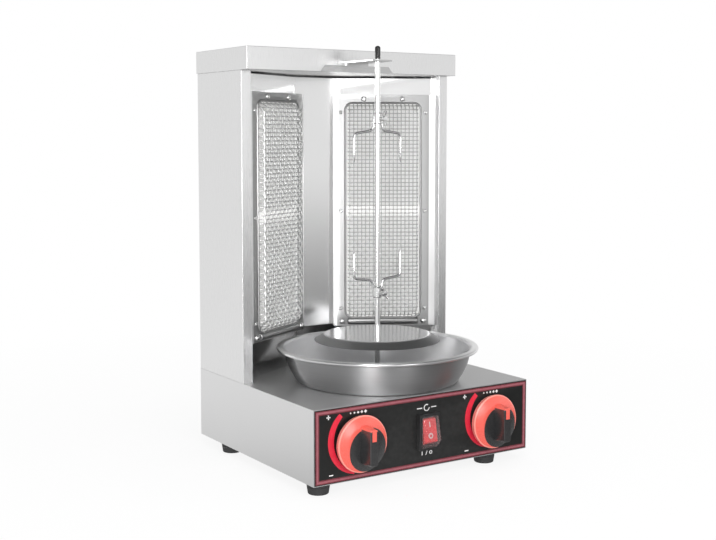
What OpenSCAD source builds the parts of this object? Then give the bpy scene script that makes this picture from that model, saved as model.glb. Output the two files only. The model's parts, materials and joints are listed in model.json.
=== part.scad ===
// Vertical kebab grill: two upright ceramic burners in a stainless cabinet, a motor-driven
// spit with a meat plate and two forks, a drip pan, and gas controls in the base.
// Millimetres, +Z up, the front faces -Y, the origin is under the middle of the whole part.

/* [Sheet metal] */
// Thickness of the stainless sheet
sheet = 1; // [0.8:0.1:1.4]
// Gap round pieces that slip inside each other
slip_gap = 0.2; // [0.1:0.05:0.4]
// Radial gap of a turning or sliding fit
run_gap = 0.06; // [0.03:0.01:0.1]

/* [Base] */
// Height of the base box
base_h = 76; // [70:1:100]
// Room between the burner frames and the outside of the base, at each side
side_room = 18.5; // [16:0.5:40]
// Room from the frames' inner edges to the back of the base
rear_room = 41.1; // [38:0.5:70]
// Width of the lips that carry the floor plate
lip_w = 8; // [6:0.5:9]
// Distance of the floor screws from the front and the back
floor_screw_inset = 75; // [65:1:90]

/* [Feet] */
// Height of a rubber foot
foot_h = 10.5; // [8:0.5:20]
// Diameter of a rubber foot
foot_d = 24; // [18:0.5:26]
// Distance of the left feet from the left side
foot_left = 13; // [13:0.5:60]
// Distance of the right feet from the right side
foot_right = 48; // [13:0.5:60]
// Distance of the front feet from the front
foot_front = 13; // [13:0.5:30]
// Distance of the back feet from the back
foot_back = 52; // [13:0.5:60]
// Diameter of the screw that holds a foot
foot_screw_d = 4; // [3:0.5:5]

/* [Cabinet] */
// Width of the side panels' front flanges
flange_w = 11.5; // [8:0.5:16]
// How far the cabinet's front stands before the burner frames' outer edges
flange_lead = 10.1; // [5:0.5:20]
// Room above the burner frames, up to the ceiling
head_room = 21.5; // [16:0.5:60]
// Distance of the liner's centre strip behind the frames' inner edges
strip_gap = 8.1; // [7:0.1:12]
// Slot between the liner and the ceiling
liner_gap = 2; // [1:0.5:6]
// Height of the air opening under the liner's centre strip
air_h = 42; // [20:1:60]
// Number of vents in the back panel
vent_count = 9; // [3:1:12]
// Pitch of the vents
vent_pitch = 12; // [9:0.5:20]
// Length of a vent
vent_l = 120; // [40:1:160]
// Height of a vent
vent_h = 5; // [3:0.5:7]
// Distance of the vents below the ceiling
vent_drop = 40; // [20:1:80]

/* [Cap] */
// Height of the cap
cap_h = 24; // [16:1:40]
// How far the cap stands before the cabinet
cap_lead = 14.5; // [5:0.5:25]

/* [Burners] */
// Angle of each burner to the back of the cabinet
burner_angle = 30; // [27:0.5:33]
// Width of a ceramic plaque
plaque_w = 92; // [80:1:110]
// Height of a ceramic plaque
plaque_h = 132; // [110:1:150]
// Thickness of a ceramic plaque
plaque_t = 13; // [10:0.5:16]
// Gap between the two plaques of a burner
plaque_gap = 1; // [0.5:0.5:3]
// Width of a frame beyond the plaques, at each side
frame_side = 7.8; // [7:0.1:12]
// Height of a frame beyond the plaques, at each end
frame_end = 3; // [2:0.5:8]
// Depth of a frame in front of the liner
frame_depth = 9.3; // [8:0.1:14]
// Height of the frames above the base
frame_lift = 40.5; // [30:0.5:60]
// Gap between the inner edges of the two frames
frame_gap = 46.6; // [40:0.2:70]
// Width of the slanted flange along a frame's inner edge
frame_flange = 4.7; // [3:0.1:5.5]
// How far the frame covers the plaques at each side
window_side = 3; // [2:0.5:5]
// How far the frame covers the plaques at each end
window_end = 8; // [6:0.5:12]
// Corner radius of the window
window_r = 7; // [4:0.5:12]
// Width of the raised lip round the window
window_lip_w = 2.5; // [1.5:0.1:3]
// Height of the raised lip round the window
window_lip_h = 1.5; // [0.5:0.1:2.5]
// Radius of the rolled lip under the window
bead_r = 4.2; // [2:0.1:4.6]
// Thickness of the mesh
mesh_t = 1.2; // [0.8:0.1:2]
// Columns of openings in the mesh
mesh_cols = 10; // [6:1:10]
// Rows of openings in the mesh
mesh_rows = 29; // [20:1:30]
// Width of a bar of the mesh
mesh_bar = 2; // [1:0.1:3]
// How far the mesh bulges before the frame
mesh_bulge = 8; // [3:0.5:10]
// Width of the mesh's slanted border
mesh_slope = 6; // [3:0.5:10]
// Thickness of the gasket round the plaques
gasket_t = 1.8; // [1:0.1:3]
// Height of the strip over the joint of the plaques
joint_strip_h = 10.6; // [6:0.1:14]
// Depth of a burner box behind the liner
box_depth = 28; // [24:0.5:30]
// Outer radius of a mixing tube
mixer_r = 9; // [7:0.5:10]
// Wall of a mixing tube
mixer_wall = 1.2; // [0.8:0.1:2]

/* [Drip pan] */
// Radius of the pan's rim
pan_rim_r = 109.4; // [100:0.2:115]
// Width of the flat rim
pan_rim_w = 8.4; // [5:0.2:12]
// Height of the pan
pan_h = 37.7; // [30:0.1:39]
// How far the pan's wall leans out from its floor to its rim
pan_lean = 14; // [6:0.5:25]
// How far the pan's wall bulges
pan_bulge = 3.5; // [0:0.1:6]
// Radius of the rolled bead of the rim
pan_bead_r = 1.8; // [1:0.1:2.5]
// Gap between the pan's rim and the burner frames
pan_clear = 5.2; // [4.5:0.1:12]
// Inner radius of the pan's neck
neck_r = 11; // [10:0.5:20]
// Height of the pan's neck
neck_h = 9; // [5:0.5:12]

/* [Spit] */
// Distance of the spit from the front of the base
spit_setback = 90; // [85:0.5:110]
// Diameter of the spit rod
rod_d = 6; // [5:0.5:8]
// Height of the rod's tip above the bracket
tip_h = 14; // [8:0.5:20]
// Radius of the meat plate
plate_r = 68.5; // [50:0.5:85]
// Width of the meat plate's slanted skirt
plate_skirt = 10.5; // [4:0.5:14]
// Height of the meat plate
plate_h = 7; // [4:0.5:10]
// Thickness of the meat plate
plate_t = 1.5; // [1:0.1:3]
// Height of the meat plate's lower edge above the base
plate_lift = 43.7; // [40:0.1:60]
// Radius of the plate's hub
hub_r = 9; // [6:0.5:12]
// Height of the plate's hub
hub_h = 14; // [10:0.5:20]

/* [Forks] */
// Distance between a fork's two prongs
fork_span = 60; // [40:1:90]
// Diameter of the fork wire
fork_wire_d = 3.2; // [2:0.1:4]
// Length of a prong
prong_l = 34; // [20:1:40]
// Drop of the fork's arms from its collar
fork_arm_drop = 13; // [11:0.5:20]
// Diameter of a fork's collar
collar_d = 11; // [10.5:0.5:18]
// Height of a fork's collar
collar_h = 12; // [9:0.5:18]
// Distance of the upper fork's collar below the bracket
upper_fork_drop = 62; // [60:1:90]
// Height of the lower fork's collar above the meat plate
lower_fork_lift = 45; // [42:1:60]
// Diameter of a wing screw
wing_screw_d = 3.4; // [3:0.1:4]
// Reach of a wing screw from the spit's axis
wing_reach = 17; // [15:0.5:24]
// Span of the wings
wing_span = 16; // [10:0.5:18]
// Turn of the upper wing screw
upper_wing_turn = 90; // [0:5:180]
// Turn of the lower wing screw
lower_wing_turn = 55; // [0:5:180]

/* [Spit bracket] */
// Thickness of the bracket
bracket_t = 1.6; // [1.2:0.1:2.5]
// Width of the bracket's foot along its lower edge
bracket_w = 94; // [60:1:120]
// Width of the bracket's foot along its upper edge
bracket_top_w = 82; // [50:1:110]
// Height of the bracket's foot
bracket_foot_h = 7.2; // [5:0.1:8]
// Height of the tongue above the cap's lower edge
tongue_z = 10; // [9:0.5:14]
// Width of the tongue at the cap
tongue_w = 28; // [20:0.5:40]
// Width of the tongue at its tip
tongue_tip_w = 25; // [16:0.5:36]
// How far the tongue reaches past the rod
tongue_past = 9; // [6:0.5:15]

/* [Control panel] */
// Thickness of the overlay
overlay_t = 0.6; // [0.3:0.1:1]
// Margin round the overlay
overlay_margin = 0.8; // [0.5:0.1:3]
// Distance between the two knobs
knob_spacing = 168; // [150:1:176]
// Radius of a knob's skirt
knob_r = 28.7; // [22:0.1:32]
// How far a knob stands from the base's front
knob_proud = 30; // [25:0.5:40]
// Gap behind a knob
knob_gap = 4.5; // [4:0.1:7]
// How far a knob presses in
knob_push = 3; // [2:0.1:3.2]
// Distance of the skirt's edge from the base's front
knob_edge = 10; // [8:0.5:12]
// Rise of the knob's slanted face
knob_rise = 3.5; // [2:0.1:5]
// Radius where the slanted face ends
knob_face_r = 17; // [12:0.5:18]
// Width of the grip bar
grip_w = 10.5; // [8:0.1:13]
// Length of the grip bar
grip_l = 39; // [30:0.5:42]
// Width of the switch's bezel
bezel_w = 25; // [23:0.5:32]
// Height of the switch's bezel
bezel_h = 37; // [35:0.5:44]
// How far the bezel stands out
bezel_proud = 6; // [4:0.5:7]
// Width of the rocker
rocker_w = 16.6; // [14:0.1:17]
// Radius of the rocker's ends about its pivot
rocker_r = 14.4; // [12:0.1:14.6]
// Swing of the rocker between off and on
rocker_swing = 20; // [14:1:24]
// Gap between the rocker's highest edge and the upper end of the splash boot's face
boot_gap = 0.6; // [0.3:0.1:2]
// How much farther the boot stands out at its lower end
boot_lean = 5.4; // [3:0.1:7]
// Height of the boot's slanted lower side
boot_chin = 8; // [5:0.1:10]
// Wall of the splash boot
boot_wall = 1; // [0.6:0.1:1.5]
// Depth of the switch's body behind the front
switch_depth = 24; // [18:0.5:30]

/* [Gas line] */
// Radius of a valve's body
valve_r = 9; // [8:0.5:11]
// Length of a valve's body
valve_l = 42; // [40:0.5:55]
// Gap between the base's front and a valve
valve_gap = 8; // [7:0.5:14]
// Radius of a valve's stem
stem_r = 4; // [3:0.1:4.5]
// Radius of a valve's plug
plug_r = 6; // [5:0.1:6.5]
// Length of a valve's plug
plug_l = 16; // [14:0.5:20]
// Side of the square gas rail
rail_side = 14; // [10:0.5:16]
// Wall of the gas rail
rail_wall = 1.5; // [1:0.1:2.5]
// How far the rail runs past each valve
rail_past = 16; // [12:0.5:24]
// Outer radius of the pipes
pipe_r = 4; // [3:0.1:5]
// Wall of the pipes
pipe_wall = 1; // [0.6:0.1:1.5]
// Radius of the hose tail
tail_r = 4.5; // [4:0.1:6]
// Length of the hose tail
tail_l = 18; // [14:0.5:30]
// Radius of the gas bore
gas_bore_r = 2.5; // [1.5:0.1:3]

/* [Drive] */
// Radius of the motor
motor_r = 25; // [20:0.5:30]
// Height of the motor
motor_h = 22; // [16:0.5:26]
// Height of the gearbox
gearbox_h = 14; // [10:0.5:18]
// Width of the gearbox
gearbox_w = 56; // [50:1:64]
// Radius of the output shaft
shaft_r = 4; // [3:0.1:5]
// Outer radius of the shaft's bush
bush_r = 7; // [6:0.1:9]
// Radius of the drive socket
socket_r = 8; // [7:0.1:9]
// Height of the drive socket
socket_h = 11.5; // [10:0.5:14]
// Depth of the rod in the drive socket
rod_seat = 8; // [6:0.5:9]
// Radius of the rod's cross pin
pin_r = 1.2; // [1:0.1:1.5]

/* [Power inlet] */
// Distance of the cable gland from the middle of the base
gland_x = 60; // [40:1:70]
// Radius of the cable gland's bore
gland_bore_r = 3.6; // [3:0.1:5]
// How far the cable gland stands out of the back
gland_proud = 12; // [8:0.5:18]

/* [Hidden] */
$fn = 64;

// Burners: a frame is the plaques and its own margins, and stands clear of the pan
sn = sin(burner_angle);
cs = cos(burner_angle);
tn = tan(burner_angle);
plaques_h = 2 * plaque_h + plaque_gap;
frame_w = plaque_w + 2 * frame_side;
frame_h = plaques_h + 2 * frame_end;
window_w = plaque_w - 2 * window_side;
window_h = plaques_h - 2 * window_end;
frame_in = frame_gap / 2;
burner_reach = pan_rim_r + pan_clear;
frame_setback = spit_setback + (burner_reach - frame_in * sn) / cs;

// A hole's cut runs this far past the piece that it goes through
past = 1;

// Outside of the base and of the whole part
base_w = 2 * (frame_in + frame_w * cs + side_room);
base_d = frame_setback + rear_room;
tail_nut = 8;
tail_proud = tail_nut + tail_l;
front_y = knob_proud - (knob_proud + base_d + tail_proud) / 2;
back_y = front_y + base_d;
side_x = base_w / 2;
base_top = foot_h + base_h;
panel_z = foot_h + base_h / 2;
spit_y = front_y + spit_setback;

// Screws of the floor, the feet and the back
panel_screw_r = 1.5;
panel_head_r = 3;
panel_head_h = 1.8;
back_screw_inset = 12;
foot_hole_r = foot_screw_d / 2 + run_gap;
foot_recess_gap = 1;
foot_recess_r = foot_screw_d + foot_recess_gap;
foot_recess_h = 4;
foot_head_h = 2.4;
foot_taper = 1.5;

// Cabinet
frame_y = front_y + frame_setback;
frame_z = base_top + frame_lift;
frame_mid = frame_w / 2;
window_z = frame_z + frame_end + window_end;
plaque_z = frame_z + frame_end;
joint_z = plaque_z + plaques_h / 2;
cabinet_top = frame_z + frame_h + head_room;
cabinet_y = frame_y - frame_w * sn - flange_lead;
strip_y = frame_y + strip_gap;
cap_y = cabinet_y - cap_lead;
function liner_y(x) = frame_y + frame_depth / cs - (x - frame_in) * tn;
function liner_x(y) = frame_in + (frame_y + frame_depth / cs - y) / tn;
liner_skew = sheet / cs;

// Layers of a burner, from the frame's face backwards
mesh_y = sheet;
gasket_y = mesh_y + mesh_t;
plaque_y = gasket_y + gasket_t;
box_y = frame_depth + sheet;
plaque_slip = 0.5;
box_in_w = plaque_w + 2 * plaque_slip;
box_in_h = plaques_h + 2 * plaque_slip;
box_w = box_in_w + 2 * sheet;
box_h = box_in_h + 2 * sheet;
box_ledge = 4;
box_ledge_y = plaque_y + plaque_t;
mixer_y = box_y + box_depth / 2;

// Mesh: a flat rim behind the frame, and a basket that comes through its window
mesh_lap = 2.5;
mesh_inset = window_r * (1 - sqrt(0.5)) + slip_gap;
mesh_w = window_w + 2 * mesh_lap;
mesh_h = window_h + 2 * mesh_lap;
basket_w = window_w - 2 * mesh_inset;
basket_h = window_h - 2 * mesh_inset;

// Each kind of screw of a frame as [x, z, shank radius, head radius, head height]
screw_inset = 4.5;
top_screw_span = 45;
top_screw_drop = 4.9;
side_screw_end = 9.5;
side_screw_span = window_h / 2 - side_screw_end;
bolt_inset = 5.7;
bolt_rise = 5.3;
bead_gap = 6.5;
frame_screw_list = [
    for (x = [screw_inset, frame_w - screw_inset], k = [-1, 0, 1])
        [x, window_z + window_h / 2 + k * side_screw_span, 1.2, 2.2, 1.5],
    for (k = [-1, 1])
        [frame_mid + k * top_screw_span / 2, frame_z + frame_h - top_screw_drop, 1.5, 3.2, 2.4],
    for (x = [bolt_inset, frame_w - bolt_inset])
        [x, frame_z + bolt_rise, 1.8, 3.6, 3]
];

// Controls and the gas line, one set at each side
knob_x = knob_spacing / 2;
stem_hole_gap = 1;
stem_hole_r = stem_r + stem_hole_gap;
stem_in_grip = 8;
stem_tip_y = front_y - knob_edge - knob_rise - stem_in_grip;
valve_y = front_y + valve_gap;
stem_nose = 14;
stem_play = 1;
plug_y = valve_y + stem_nose + knob_push + 2 * stem_play;
drive_tongue_t = 2.5;
drive_tongue_inset = 1;
drive_tongue_w = 2 * (stem_r - drive_tongue_inset);
drive_tongue_in = 5;
plug_slot_l = drive_tongue_in + knob_push + stem_play;
valve_end_y = valve_y + valve_l;
inlet_r = 3.4;
inlet_flange_r = 5.5;
inlet_flange_h = 2.5;
inlet_y = plug_y + plug_l / 2;
rail_z = panel_z - valve_r - inlet_flange_h - rail_side / 2;
rail_end_x = knob_x + rail_past;
mixer_u = (knob_x - frame_in - mixer_y * sn) / cs;
mixer_world_y = frame_y - mixer_u * sn + mixer_y * cs;
injector_side = 16;
injector_y = mixer_world_y - injector_side / 2;
mixer_end = 14;
tail_x = rail_end_x - rail_side / 2;
tail_z = rail_z;
tail_hex_w = 4;
tail_hex_r = tail_r + tail_hex_w;

// Switch
rocker_gap = 0.4;
rocker_sink = 1;
rocker_y = front_y + rocker_sink;
rocker_face = 8.2;
switch_wall = 1.2;
switch_cut_w = rocker_w + 2 * rocker_gap;
switch_cut_h = 2 * (rocker_r + rocker_gap);
switch_w = switch_cut_w + 2 * switch_wall;
switch_h = switch_cut_h + 2 * switch_wall;
bezel_y = front_y - overlay_t - bezel_proud;
rocker_edge = sqrt(rocker_r * rocker_r - rocker_face * rocker_face);
rocker_tip = rocker_face * cos(rocker_swing / 2) + rocker_edge * sin(rocker_swing / 2);
rocker_out = rocker_tip - rocker_y + bezel_y;
boot_margin = 1.9;
boot_brow = 0.8;
boot_top_out = rocker_out + boot_gap;
boot_low_out = boot_top_out + boot_lean;

// Power inlet
gland_wall = 2.4;
gland_hex_w = 3.5;
gland_r = gland_bore_r + gland_wall;
gland_hex_r = gland_r + gland_hex_w;

// Drive and spit
socket_lift = 2.5;
socket_z = base_top + socket_lift;
socket_top = socket_z + socket_h;
rod_z = socket_top - rod_seat;
shaft_top = rod_z - 2 * slip_gap;
rod_r = rod_d / 2;
gearbox_z = base_top - sheet - gearbox_h;
motor_z = gearbox_z - motor_h;
gearbox_skin = 3;
shaft_z = gearbox_z + gearbox_skin + slip_gap;
stud_r = 2;
stud_l = 8;
nut_gap = 1.5;
stud_x = gearbox_w / 2 + 2 * stud_r + nut_gap;
ear_t = 2;
ear_z = base_top - sheet - ear_t;
nut_h = 3;
bush_flange_w = 3;
bush_flange_r = bush_r + bush_flange_w;
bush_flange_h = 2;
pin_inset = 0.5;
pin_l = 2 * (socket_r - pin_inset);
pin_gap = 0.3;
pin_drop = 3.2;
pin_z = socket_top - pin_drop;
guide_gap = 0.6;
plate_z = base_top + plate_lift;
plate_top = plate_z + plate_h;
tongue_top = cabinet_top + tongue_z + bracket_t;
rod_top = tongue_top + past;
upper_fork_z = tongue_top - upper_fork_drop;
lower_fork_z = plate_top + lower_fork_lift;
fork_hole_r = wing_screw_d / 2 + run_gap;
fork_bend = 1.6 * fork_wire_d;

// Drip pan: its wall leans and bulges as t runs from 0 at the floor to 1 at the rim
pan_wall_r = pan_rim_r - pan_rim_w;
pan_floor_r = pan_wall_r - pan_lean;
pan_steps = 12;
function pan_r(t) = pan_floor_r + pan_lean * t + pan_bulge * sin(180 * t);

steel = "silver";
brass = "goldenrod";
dark = "dimgray";

// Places the children on a burner: X runs outwards along the frame, Y runs into it
module at_burner(side) {
    mirror([side < 0 ? 1 : 0, 0, 0])
        translate([frame_in, frame_y, 0])
            rotate([0, 0, -burner_angle])
                children();
}

// Places the children at the left and the right
module both_sides() {
    for (side = [-1, 1])
        mirror([side < 0 ? 1 : 0, 0, 0])
            children();
}

// A cylinder along +Y
module bar_y(r, l) {
    rotate([-90, 0, 0])
        cylinder(r = r, h = l);
}

// A cylinder along +X
module bar_x(r, l) {
    rotate([0, 90, 0])
        cylinder(r = r, h = l);
}

// A shape drawn in the y-z plane and drawn out along x, centred
module along_x(l) {
    translate([-l / 2, 0, 0])
        rotate([90, 0, 90])
            linear_extrude(l)
                children();
}

// A rectangle with round corners, centred
module round_rect(w, h, r) {
    square([w - 2 * r, h], center = true);
    square([w, h - 2 * r], center = true);
    for (x = [-1, 1], z = [-1, 1])
        translate([x * (w / 2 - r), z * (h / 2 - r)])
            circle(r);
}

// A flat shape set upright: its x stays, its y becomes z, and it runs back from y for t
module upright(y, t) {
    translate([0, y + t, 0])
        rotate([90, 0, 0])
            linear_extrude(t)
                children();
}

// Points of a bent line: each corner is rounded by an arc-like curve of the given reach
function corner(a, b, c, reach, steps = 6) =
    let (p = b + (a - b) * reach / norm(a - b))
    let (q = b + (c - b) * reach / norm(c - b))
    [for (i = [0 : steps])
        let (t = i / steps)
        (1 - t) * (1 - t) * p + 2 * t * (1 - t) * b + t * t * q];
function bent(points, reach) = [
    points[0],
    for (i = [1 : len(points) - 2])
        each corner(points[i - 1], points[i], points[i + 1], reach),
    points[len(points) - 1]
];

// A wire that follows a bent line in the XZ plane
function run(path, i) = path[min(i + 1, len(path) - 1)] - path[max(i - 1, 0)];
function ring(path, i, r, sides) =
    let (t = run(path, i) / norm(run(path, i)))
    [for (k = [0 : sides - 1])
        let (a = 360 * k / sides)
        path[i] + r * cos(a) * [-t[2], 0, t[0]] + r * sin(a) * [0, 1, 0]];
module wire(path, r, sides = 12) {
    n = len(path);
    points = [for (i = [0 : n - 1]) each ring(path, i, r, sides)];
    walls = [
        for (i = [0 : n - 2], k = [0 : sides - 1])
            let (a = i * sides + k)
            let (b = i * sides + (k + 1) % sides)
            each [[a, b, a + sides], [b, b + sides, a + sides]]
    ];
    first_end = [for (k = [1 : sides - 2]) [0, k + 1, k]];
    last = (n - 1) * sides;
    last_end = [for (k = [1 : sides - 2]) [last, last + k, last + k + 1]];
    polyhedron(points, concat(walls, first_end, last_end));
}

// A screw's head and shank: the head stands on the plane z = 0, the shank goes down
module screw(head_r, head_h, shank_r, shank_l) {
    cylinder(r1 = head_r, r2 = head_r * 0.6, h = head_h);
    translate([0, 0, -shank_l])
        cylinder(r = shank_r, h = shank_l + head_h / 2);
}

// Base

module front_cuts() {
    both_sides()
        translate([knob_x, front_y - overlay_t - past, panel_z])
            bar_y(stem_hole_r, overlay_t + sheet + 2 * past);
    translate([0, 0, panel_z])
        upright(front_y - overlay_t - past, overlay_t + sheet + 2 * past)
            square([switch_w + 2 * slip_gap, switch_h + 2 * slip_gap], center = true);
}

module floor_screw_places() {
    for (x = [-1, 1], y = [front_y + floor_screw_inset, back_y - floor_screw_inset])
        translate([x * (side_x - sheet - lip_w / 2), y, foot_h])
            children();
}

module base_shell() {
    color(steel)
    difference() {
        union() {
            difference() {
                translate([-side_x, front_y, foot_h])
                    cube([base_w, base_d, base_h]);
                translate([-side_x + sheet, front_y + sheet, foot_h - past])
                    cube([base_w - 2 * sheet, base_d - 2 * sheet, base_h + past - sheet]);
            }
            both_sides()
                translate([side_x - sheet - lip_w, front_y + sheet, foot_h + sheet])
                    cube([lip_w, base_d - 2 * sheet, sheet]);
            both_sides()
                translate([stud_x, spit_y, base_top - sheet - stud_l])
                    cylinder(r = stud_r, h = stud_l);
        }
        front_cuts();
        translate([0, spit_y, base_top - 2 * sheet])
            cylinder(r = bush_r, h = 3 * sheet);
        both_sides()
            translate([knob_x, mixer_world_y, base_top - 2 * sheet])
                cylinder(r = mixer_r + slip_gap, h = 3 * sheet);
        translate([tail_x, back_y - 2 * sheet, tail_z])
            bar_y(tail_r, 3 * sheet);
        translate([-gland_x, back_y - 2 * sheet, panel_z])
            bar_y(gland_r, 3 * sheet);
        floor_screw_places()
            cylinder(r = panel_screw_r + run_gap, h = 3 * sheet);
    }
}

module foot_places() {
    for (x = [-side_x + foot_left, side_x - foot_right], y = [front_y + foot_front, back_y - foot_back])
        translate([x, y, 0])
            children();
}

module base_floor() {
    slot_w = 4;
    slot_l = 60;
    slot_pitch = 14;
    slots_each_way = 2;
    color(steel)
    difference() {
        translate([-side_x + sheet + slip_gap, front_y + sheet + slip_gap, foot_h])
            cube([base_w - 2 * (sheet + slip_gap), base_d - 2 * (sheet + slip_gap), sheet]);
        foot_places()
            translate([0, 0, foot_h - past])
                cylinder(r = foot_hole_r, h = sheet + 2 * past);
        floor_screw_places()
            translate([0, 0, -past])
                cylinder(r = panel_screw_r + run_gap, h = sheet + 2 * past);
        for (i = [-slots_each_way : slots_each_way])
            translate([-slot_l / 2, spit_y + i * slot_pitch - slot_w / 2, foot_h - past])
                cube([slot_l, slot_w, sheet + 2 * past]);
    }
}

module foot(x, y) {
    color("black")
    translate([x, y, 0])
    difference() {
        cylinder(r1 = foot_d / 2 - foot_taper, r2 = foot_d / 2, h = foot_h);
        translate([0, 0, -past])
            cylinder(r = foot_recess_r, h = foot_recess_h + past);
        cylinder(r = foot_hole_r, h = foot_h + past);
    }
}

module foot_screws() {
    shank_l = foot_h - foot_recess_h + sheet + 3 * past;
    color(steel)
    foot_places() {
        translate([0, 0, foot_recess_h - foot_head_h])
            cylinder(r = foot_screw_d, h = foot_head_h);
        translate([0, 0, foot_recess_h - foot_head_h / 2])
            cylinder(r = foot_screw_d / 2, h = shank_l + foot_head_h / 2);
    }
}

module panel_screws() {
    color(steel) {
        floor_screw_places()
            mirror([0, 0, 1])
                screw(panel_head_r, panel_head_h, panel_screw_r, 3 * sheet);
        back_screw_places()
            rotate([-90, 0, 0])
                screw(panel_head_r, panel_head_h, panel_screw_r, sheet);
    }
}

module control_overlay() {
    color("black")
    difference() {
        translate([-side_x + overlay_margin, front_y - overlay_t, foot_h + overlay_margin])
            cube([base_w - 2 * overlay_margin, overlay_t, base_h - 2 * overlay_margin]);
        front_cuts();
    }
}

// Knobs and valves: each is drawn at the right, and mirrored for the left

module knob(side) {
    grip_top = knob_proud - knob_gap;
    grip_bevel = 3;
    face_h = knob_edge + knob_rise - knob_gap;
    bore_h = front_y - knob_gap - stem_tip_y;
    wall = 3;
    skirt_draft = 1;
    color("black")
    translate([side * knob_x, front_y - knob_gap, panel_z])
    rotate([90, 0, 0])
    difference() {
        union() {
            cylinder(r1 = knob_r - skirt_draft, r2 = knob_r, h = knob_edge - knob_gap);
            translate([0, 0, knob_edge - knob_gap])
                cylinder(r1 = knob_r, r2 = knob_face_r, h = knob_rise);
            intersection() {
                translate([-grip_w / 2, -knob_r, 0])
                    cube([grip_w, 2 * knob_r, grip_top]);
                union() {
                    cylinder(r = grip_l / 2, h = grip_top - grip_bevel);
                    translate([0, 0, grip_top - grip_bevel])
                        cylinder(r1 = grip_l / 2, r2 = grip_l / 2 - grip_bevel, h = grip_bevel);
                }
            }
        }
        translate([0, 0, -past])
            cylinder(r = stem_r + run_gap, h = bore_h + past);
        translate([0, 0, -past])
            difference() {
                cylinder(r = knob_face_r - past, h = face_h - wall + past);
                cylinder(r = stem_r + wall, h = face_h);
            }
    }
}

module valve_stem(side) {
    shoulder_y = plug_y - knob_push - stem_play;
    tongue_end_y = plug_y + drive_tongue_in;
    color(steel)
    translate([side * knob_x, 0, panel_z]) {
        translate([0, stem_tip_y, 0])
            bar_y(stem_r, shoulder_y - stem_tip_y);
        translate([-drive_tongue_t / 2, shoulder_y - past, -drive_tongue_w / 2])
            cube([drive_tongue_t, tongue_end_y - shoulder_y + past, drive_tongue_w]);
    }
}

module valve_plug(side) {
    color(brass)
    translate([side * knob_x, plug_y, panel_z])
    difference() {
        bar_y(plug_r, plug_l);
        translate([-drive_tongue_t / 2 - run_gap, -past, -drive_tongue_w / 2 - run_gap])
            cube([drive_tongue_t + 2 * run_gap, plug_slot_l + past, drive_tongue_w + 2 * run_gap]);
    }
}

module valve_body(side) {
    color(brass)
    translate([side * knob_x, 0, panel_z])
    difference() {
        union() {
            translate([0, valve_y, 0])
                bar_y(valve_r, valve_l);
            translate([0, inlet_y, -valve_r - inlet_flange_h])
                cylinder(r = inlet_flange_r, h = valve_r);
            translate([0, inlet_y, -valve_r - inlet_flange_h - rail_wall])
                cylinder(r = inlet_r, h = valve_r);
        }
        translate([0, valve_y - past, 0])
            bar_y(stem_r + run_gap, stem_nose + 2 * past);
        translate([0, valve_y + stem_nose, 0])
            bar_y(plug_r + run_gap, plug_y + plug_l + slip_gap - valve_y - stem_nose);
        translate([0, plug_y + plug_l, 0])
            bar_y(pipe_r - pipe_wall, valve_l);
        translate([0, inlet_y, -valve_r - inlet_flange_h - rail_wall - past])
            cylinder(r = gas_bore_r, h = valve_r - plug_r + inlet_flange_h + rail_wall + 2 * past);
    }
}

module gas_rail() {
    inside = rail_side - 2 * rail_wall;
    inlet_l = back_y - sheet - tail_nut - (inlet_y + rail_side / 2);
    color(brass)
    difference() {
        union() {
            translate([-rail_end_x, inlet_y - rail_side / 2, rail_z - rail_side / 2])
                cube([2 * rail_end_x, rail_side, rail_side]);
            translate([tail_x, inlet_y + rail_side / 2 - rail_wall, tail_z])
                bar_y(pipe_r, inlet_l + rail_wall);
        }
        translate([-rail_end_x + rail_wall, inlet_y - inside / 2, rail_z - inside / 2])
            cube([2 * (rail_end_x - rail_wall), inside, inside]);
        translate([tail_x, inlet_y, tail_z])
            bar_y(pipe_r - pipe_wall, base_d);
        both_sides()
            translate([knob_x, inlet_y, rail_z])
                cylinder(r = inlet_r + run_gap, h = rail_side);
    }
}

module gas_inlet() {
    color(brass)
    translate([tail_x, back_y, tail_z])
    difference() {
        union() {
            translate([0, -sheet - tail_nut, 0])
                rotate([-90, 0, 0])
                    cylinder(r = tail_hex_r, h = tail_nut, $fn = 6);
            translate([0, -sheet - past, 0])
                bar_y(tail_r, sheet + 2 * past);
            rotate([-90, 0, 0])
                cylinder(r = tail_hex_r, h = tail_nut, $fn = 6);
            translate([0, tail_nut - past, 0])
                bar_y(tail_r, tail_l + past);
        }
        translate([0, -base_d, 0])
            bar_y(gas_bore_r, 2 * base_d);
    }
}

module burner_pipes() {
    color(brass)
    both_sides()
        translate([knob_x, valve_end_y, panel_z])
            difference() {
                bar_y(pipe_r, injector_y - valve_end_y);
                translate([0, -past, 0])
                    bar_y(pipe_r - pipe_wall, injector_y - valve_end_y + 2 * past);
            }
}

module gas_injectors() {
    jet_r = 5;
    jet_h = 6;
    jet_bore_r = 1;
    color(brass)
    both_sides()
        translate([knob_x, mixer_world_y, panel_z])
            difference() {
                union() {
                    cube(injector_side, center = true);
                    cylinder(r = jet_r, h = injector_side / 2 + jet_h);
                }
                translate([0, -injector_side, 0])
                    bar_y(pipe_r - pipe_wall, injector_side);
                cylinder(r = jet_bore_r, h = injector_side + jet_h);
            }
}

module mixing_tubes() {
    collar = 4;
    foot_z = base_top - mixer_end;
    top_z = plaque_z - plaque_slip - sheet;
    color(steel)
    both_sides()
        translate([knob_x, mixer_world_y, 0])
            difference() {
                union() {
                    translate([0, 0, foot_z])
                        cylinder(r = mixer_r, h = top_z - foot_z);
                    translate([0, 0, top_z - 2 * sheet])
                        cylinder(r = mixer_r + collar, h = 2 * sheet);
                }
                translate([0, 0, foot_z - past])
                    cylinder(r = mixer_r - mixer_wall, h = top_z - foot_z + 2 * past);
            }
}

// Burners

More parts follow.
